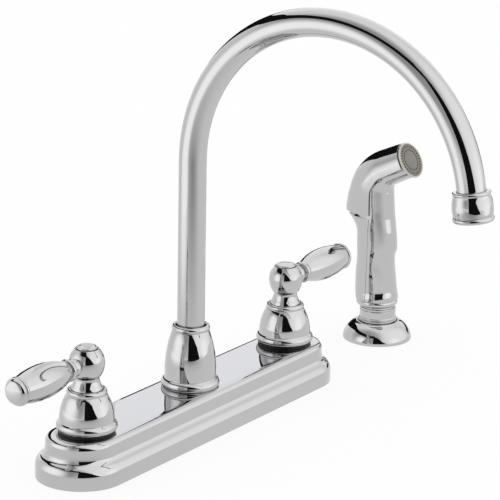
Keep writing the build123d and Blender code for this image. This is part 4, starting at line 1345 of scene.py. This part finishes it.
    def black_cards(self):
        """A slanted black card before the object, a black rail that runs from its top to the
        left and round behind, and a black skirting behind."""
        material, tree, _ = empty_material("black card")
        lamp = add_node(tree, "ShaderNodeEmission", Strength=BLACK_LEVEL)
        add_node(tree, "ShaderNodeOutputMaterial", [(lamp.outputs[0], "Surface")])
        bm = bmesh.new()
        corners = [standing(BLACK_CARD_AHEAD, *corner) for corner in BLACK_CARD]
        bm.faces.new([bm.verts.new(corner) for corner in corners])
        card("black_card", bm, material)
        posts = [
            [seen(azimuth, elevation, away) for elevation in (low, high)]
            for azimuth, low, high, away in BLACK_RAIL
        ]
        fence("black_rail", posts, material)
        places = [seen(azimuth, 0, SKIRTING_DISTANCE).xy for azimuth in SKIRTING_AZIMUTHS]
        posts = [[(*place, height) for height in (0, SKIRTING_HEIGHT)] for place in places]
        fence("black_skirting", posts, material)

    def camera(self, scene):
        """The photograph's camera: a long lens, a little above and to the left."""
        up = CAMERA_RIGHT.cross(CAMERA_AHEAD)
        across = CAMERA_RIGHT * math.cos(CAMERA_ROLL) + up * math.sin(CAMERA_ROLL)
        above = up * math.cos(CAMERA_ROLL) - CAMERA_RIGHT * math.sin(CAMERA_ROLL)
        data = bpy.data.cameras.new("camera")
        data.sensor_fit = "HORIZONTAL"
        data.sensor_width = SENSOR_WIDTH
        data.lens = SENSOR_WIDTH * FOCAL_PIXELS / PHOTO_WIDTH
        data.clip_start = 0.05
        data.clip_end = 50.0
        camera = bpy.data.objects.new("camera", data)
        scene.collection.objects.link(camera)
        turn = Matrix((across, above, -CAMERA_AHEAD)).transposed().to_4x4()
        camera.matrix_world = Matrix.Translation(CAMERA_PLACE * MM) @ turn
        scene.camera = camera


# ---- Panel and registration ----

STEPS = (
    "cover_plate",
    "bells",
    "handles",
    "spout",
    "aerator",
    "spray_holder",
    "side_spray",
    "inner_parts",
    "studio",
)


class FAUCET_PT_panel(bpy.types.Panel):
    """Sidebar panel with the faucet's pieces and finishes"""

    bl_idname = "FAUCET_PT_panel"
    bl_label = "Faucet"
    bl_space_type = "VIEW_3D"
    bl_region_type = "UI"
    bl_category = "Faucet"

    def draw(self, context):
        layout = self.layout
        scene = context.scene
        for group in (scene.faucet_sizes, scene.faucet_finishes, scene.faucet_studio):
            box = layout.box()
            for name in group.__annotations__:
                box.prop(group, name)
        for step in STEPS:
            layout.operator(f"faucet.{step}")


GROUPS = (
    ("faucet_sizes", FaucetSizes),
    ("faucet_finishes", FaucetFinishes),
    ("faucet_studio", FaucetStudio),
)
CLASSES = (
    FaucetSizes,
    FaucetFinishes,
    FaucetStudio,
    FAUCET_OT_cover_plate,
    FAUCET_OT_bells,
    FAUCET_OT_handles,
    FAUCET_OT_spout,
    FAUCET_OT_aerator,
    FAUCET_OT_spray_holder,
    FAUCET_OT_side_spray,
    FAUCET_OT_inner_parts,
    FAUCET_OT_studio,
    FAUCET_PT_panel,
)


def register():
    """Register the add-on's classes and settings."""
    for cls in CLASSES:
        bpy.utils.register_class(cls)
    for name, group in GROUPS:
        setattr(bpy.types.Scene, name, PointerProperty(type=group))


def unregister():
    """Remove the add-on's settings and classes."""
    for name, group in GROUPS:
        delattr(bpy.types.Scene, name)
    for cls in reversed(CLASSES):
        bpy.utils.unregister_class(cls)


def main():
    """Make every piece in order."""
    register()
    for step in STEPS:
        getattr(bpy.ops.faucet, step)()
    bpy.context.view_layer.update()


if __name__ == "__main__":
    main()
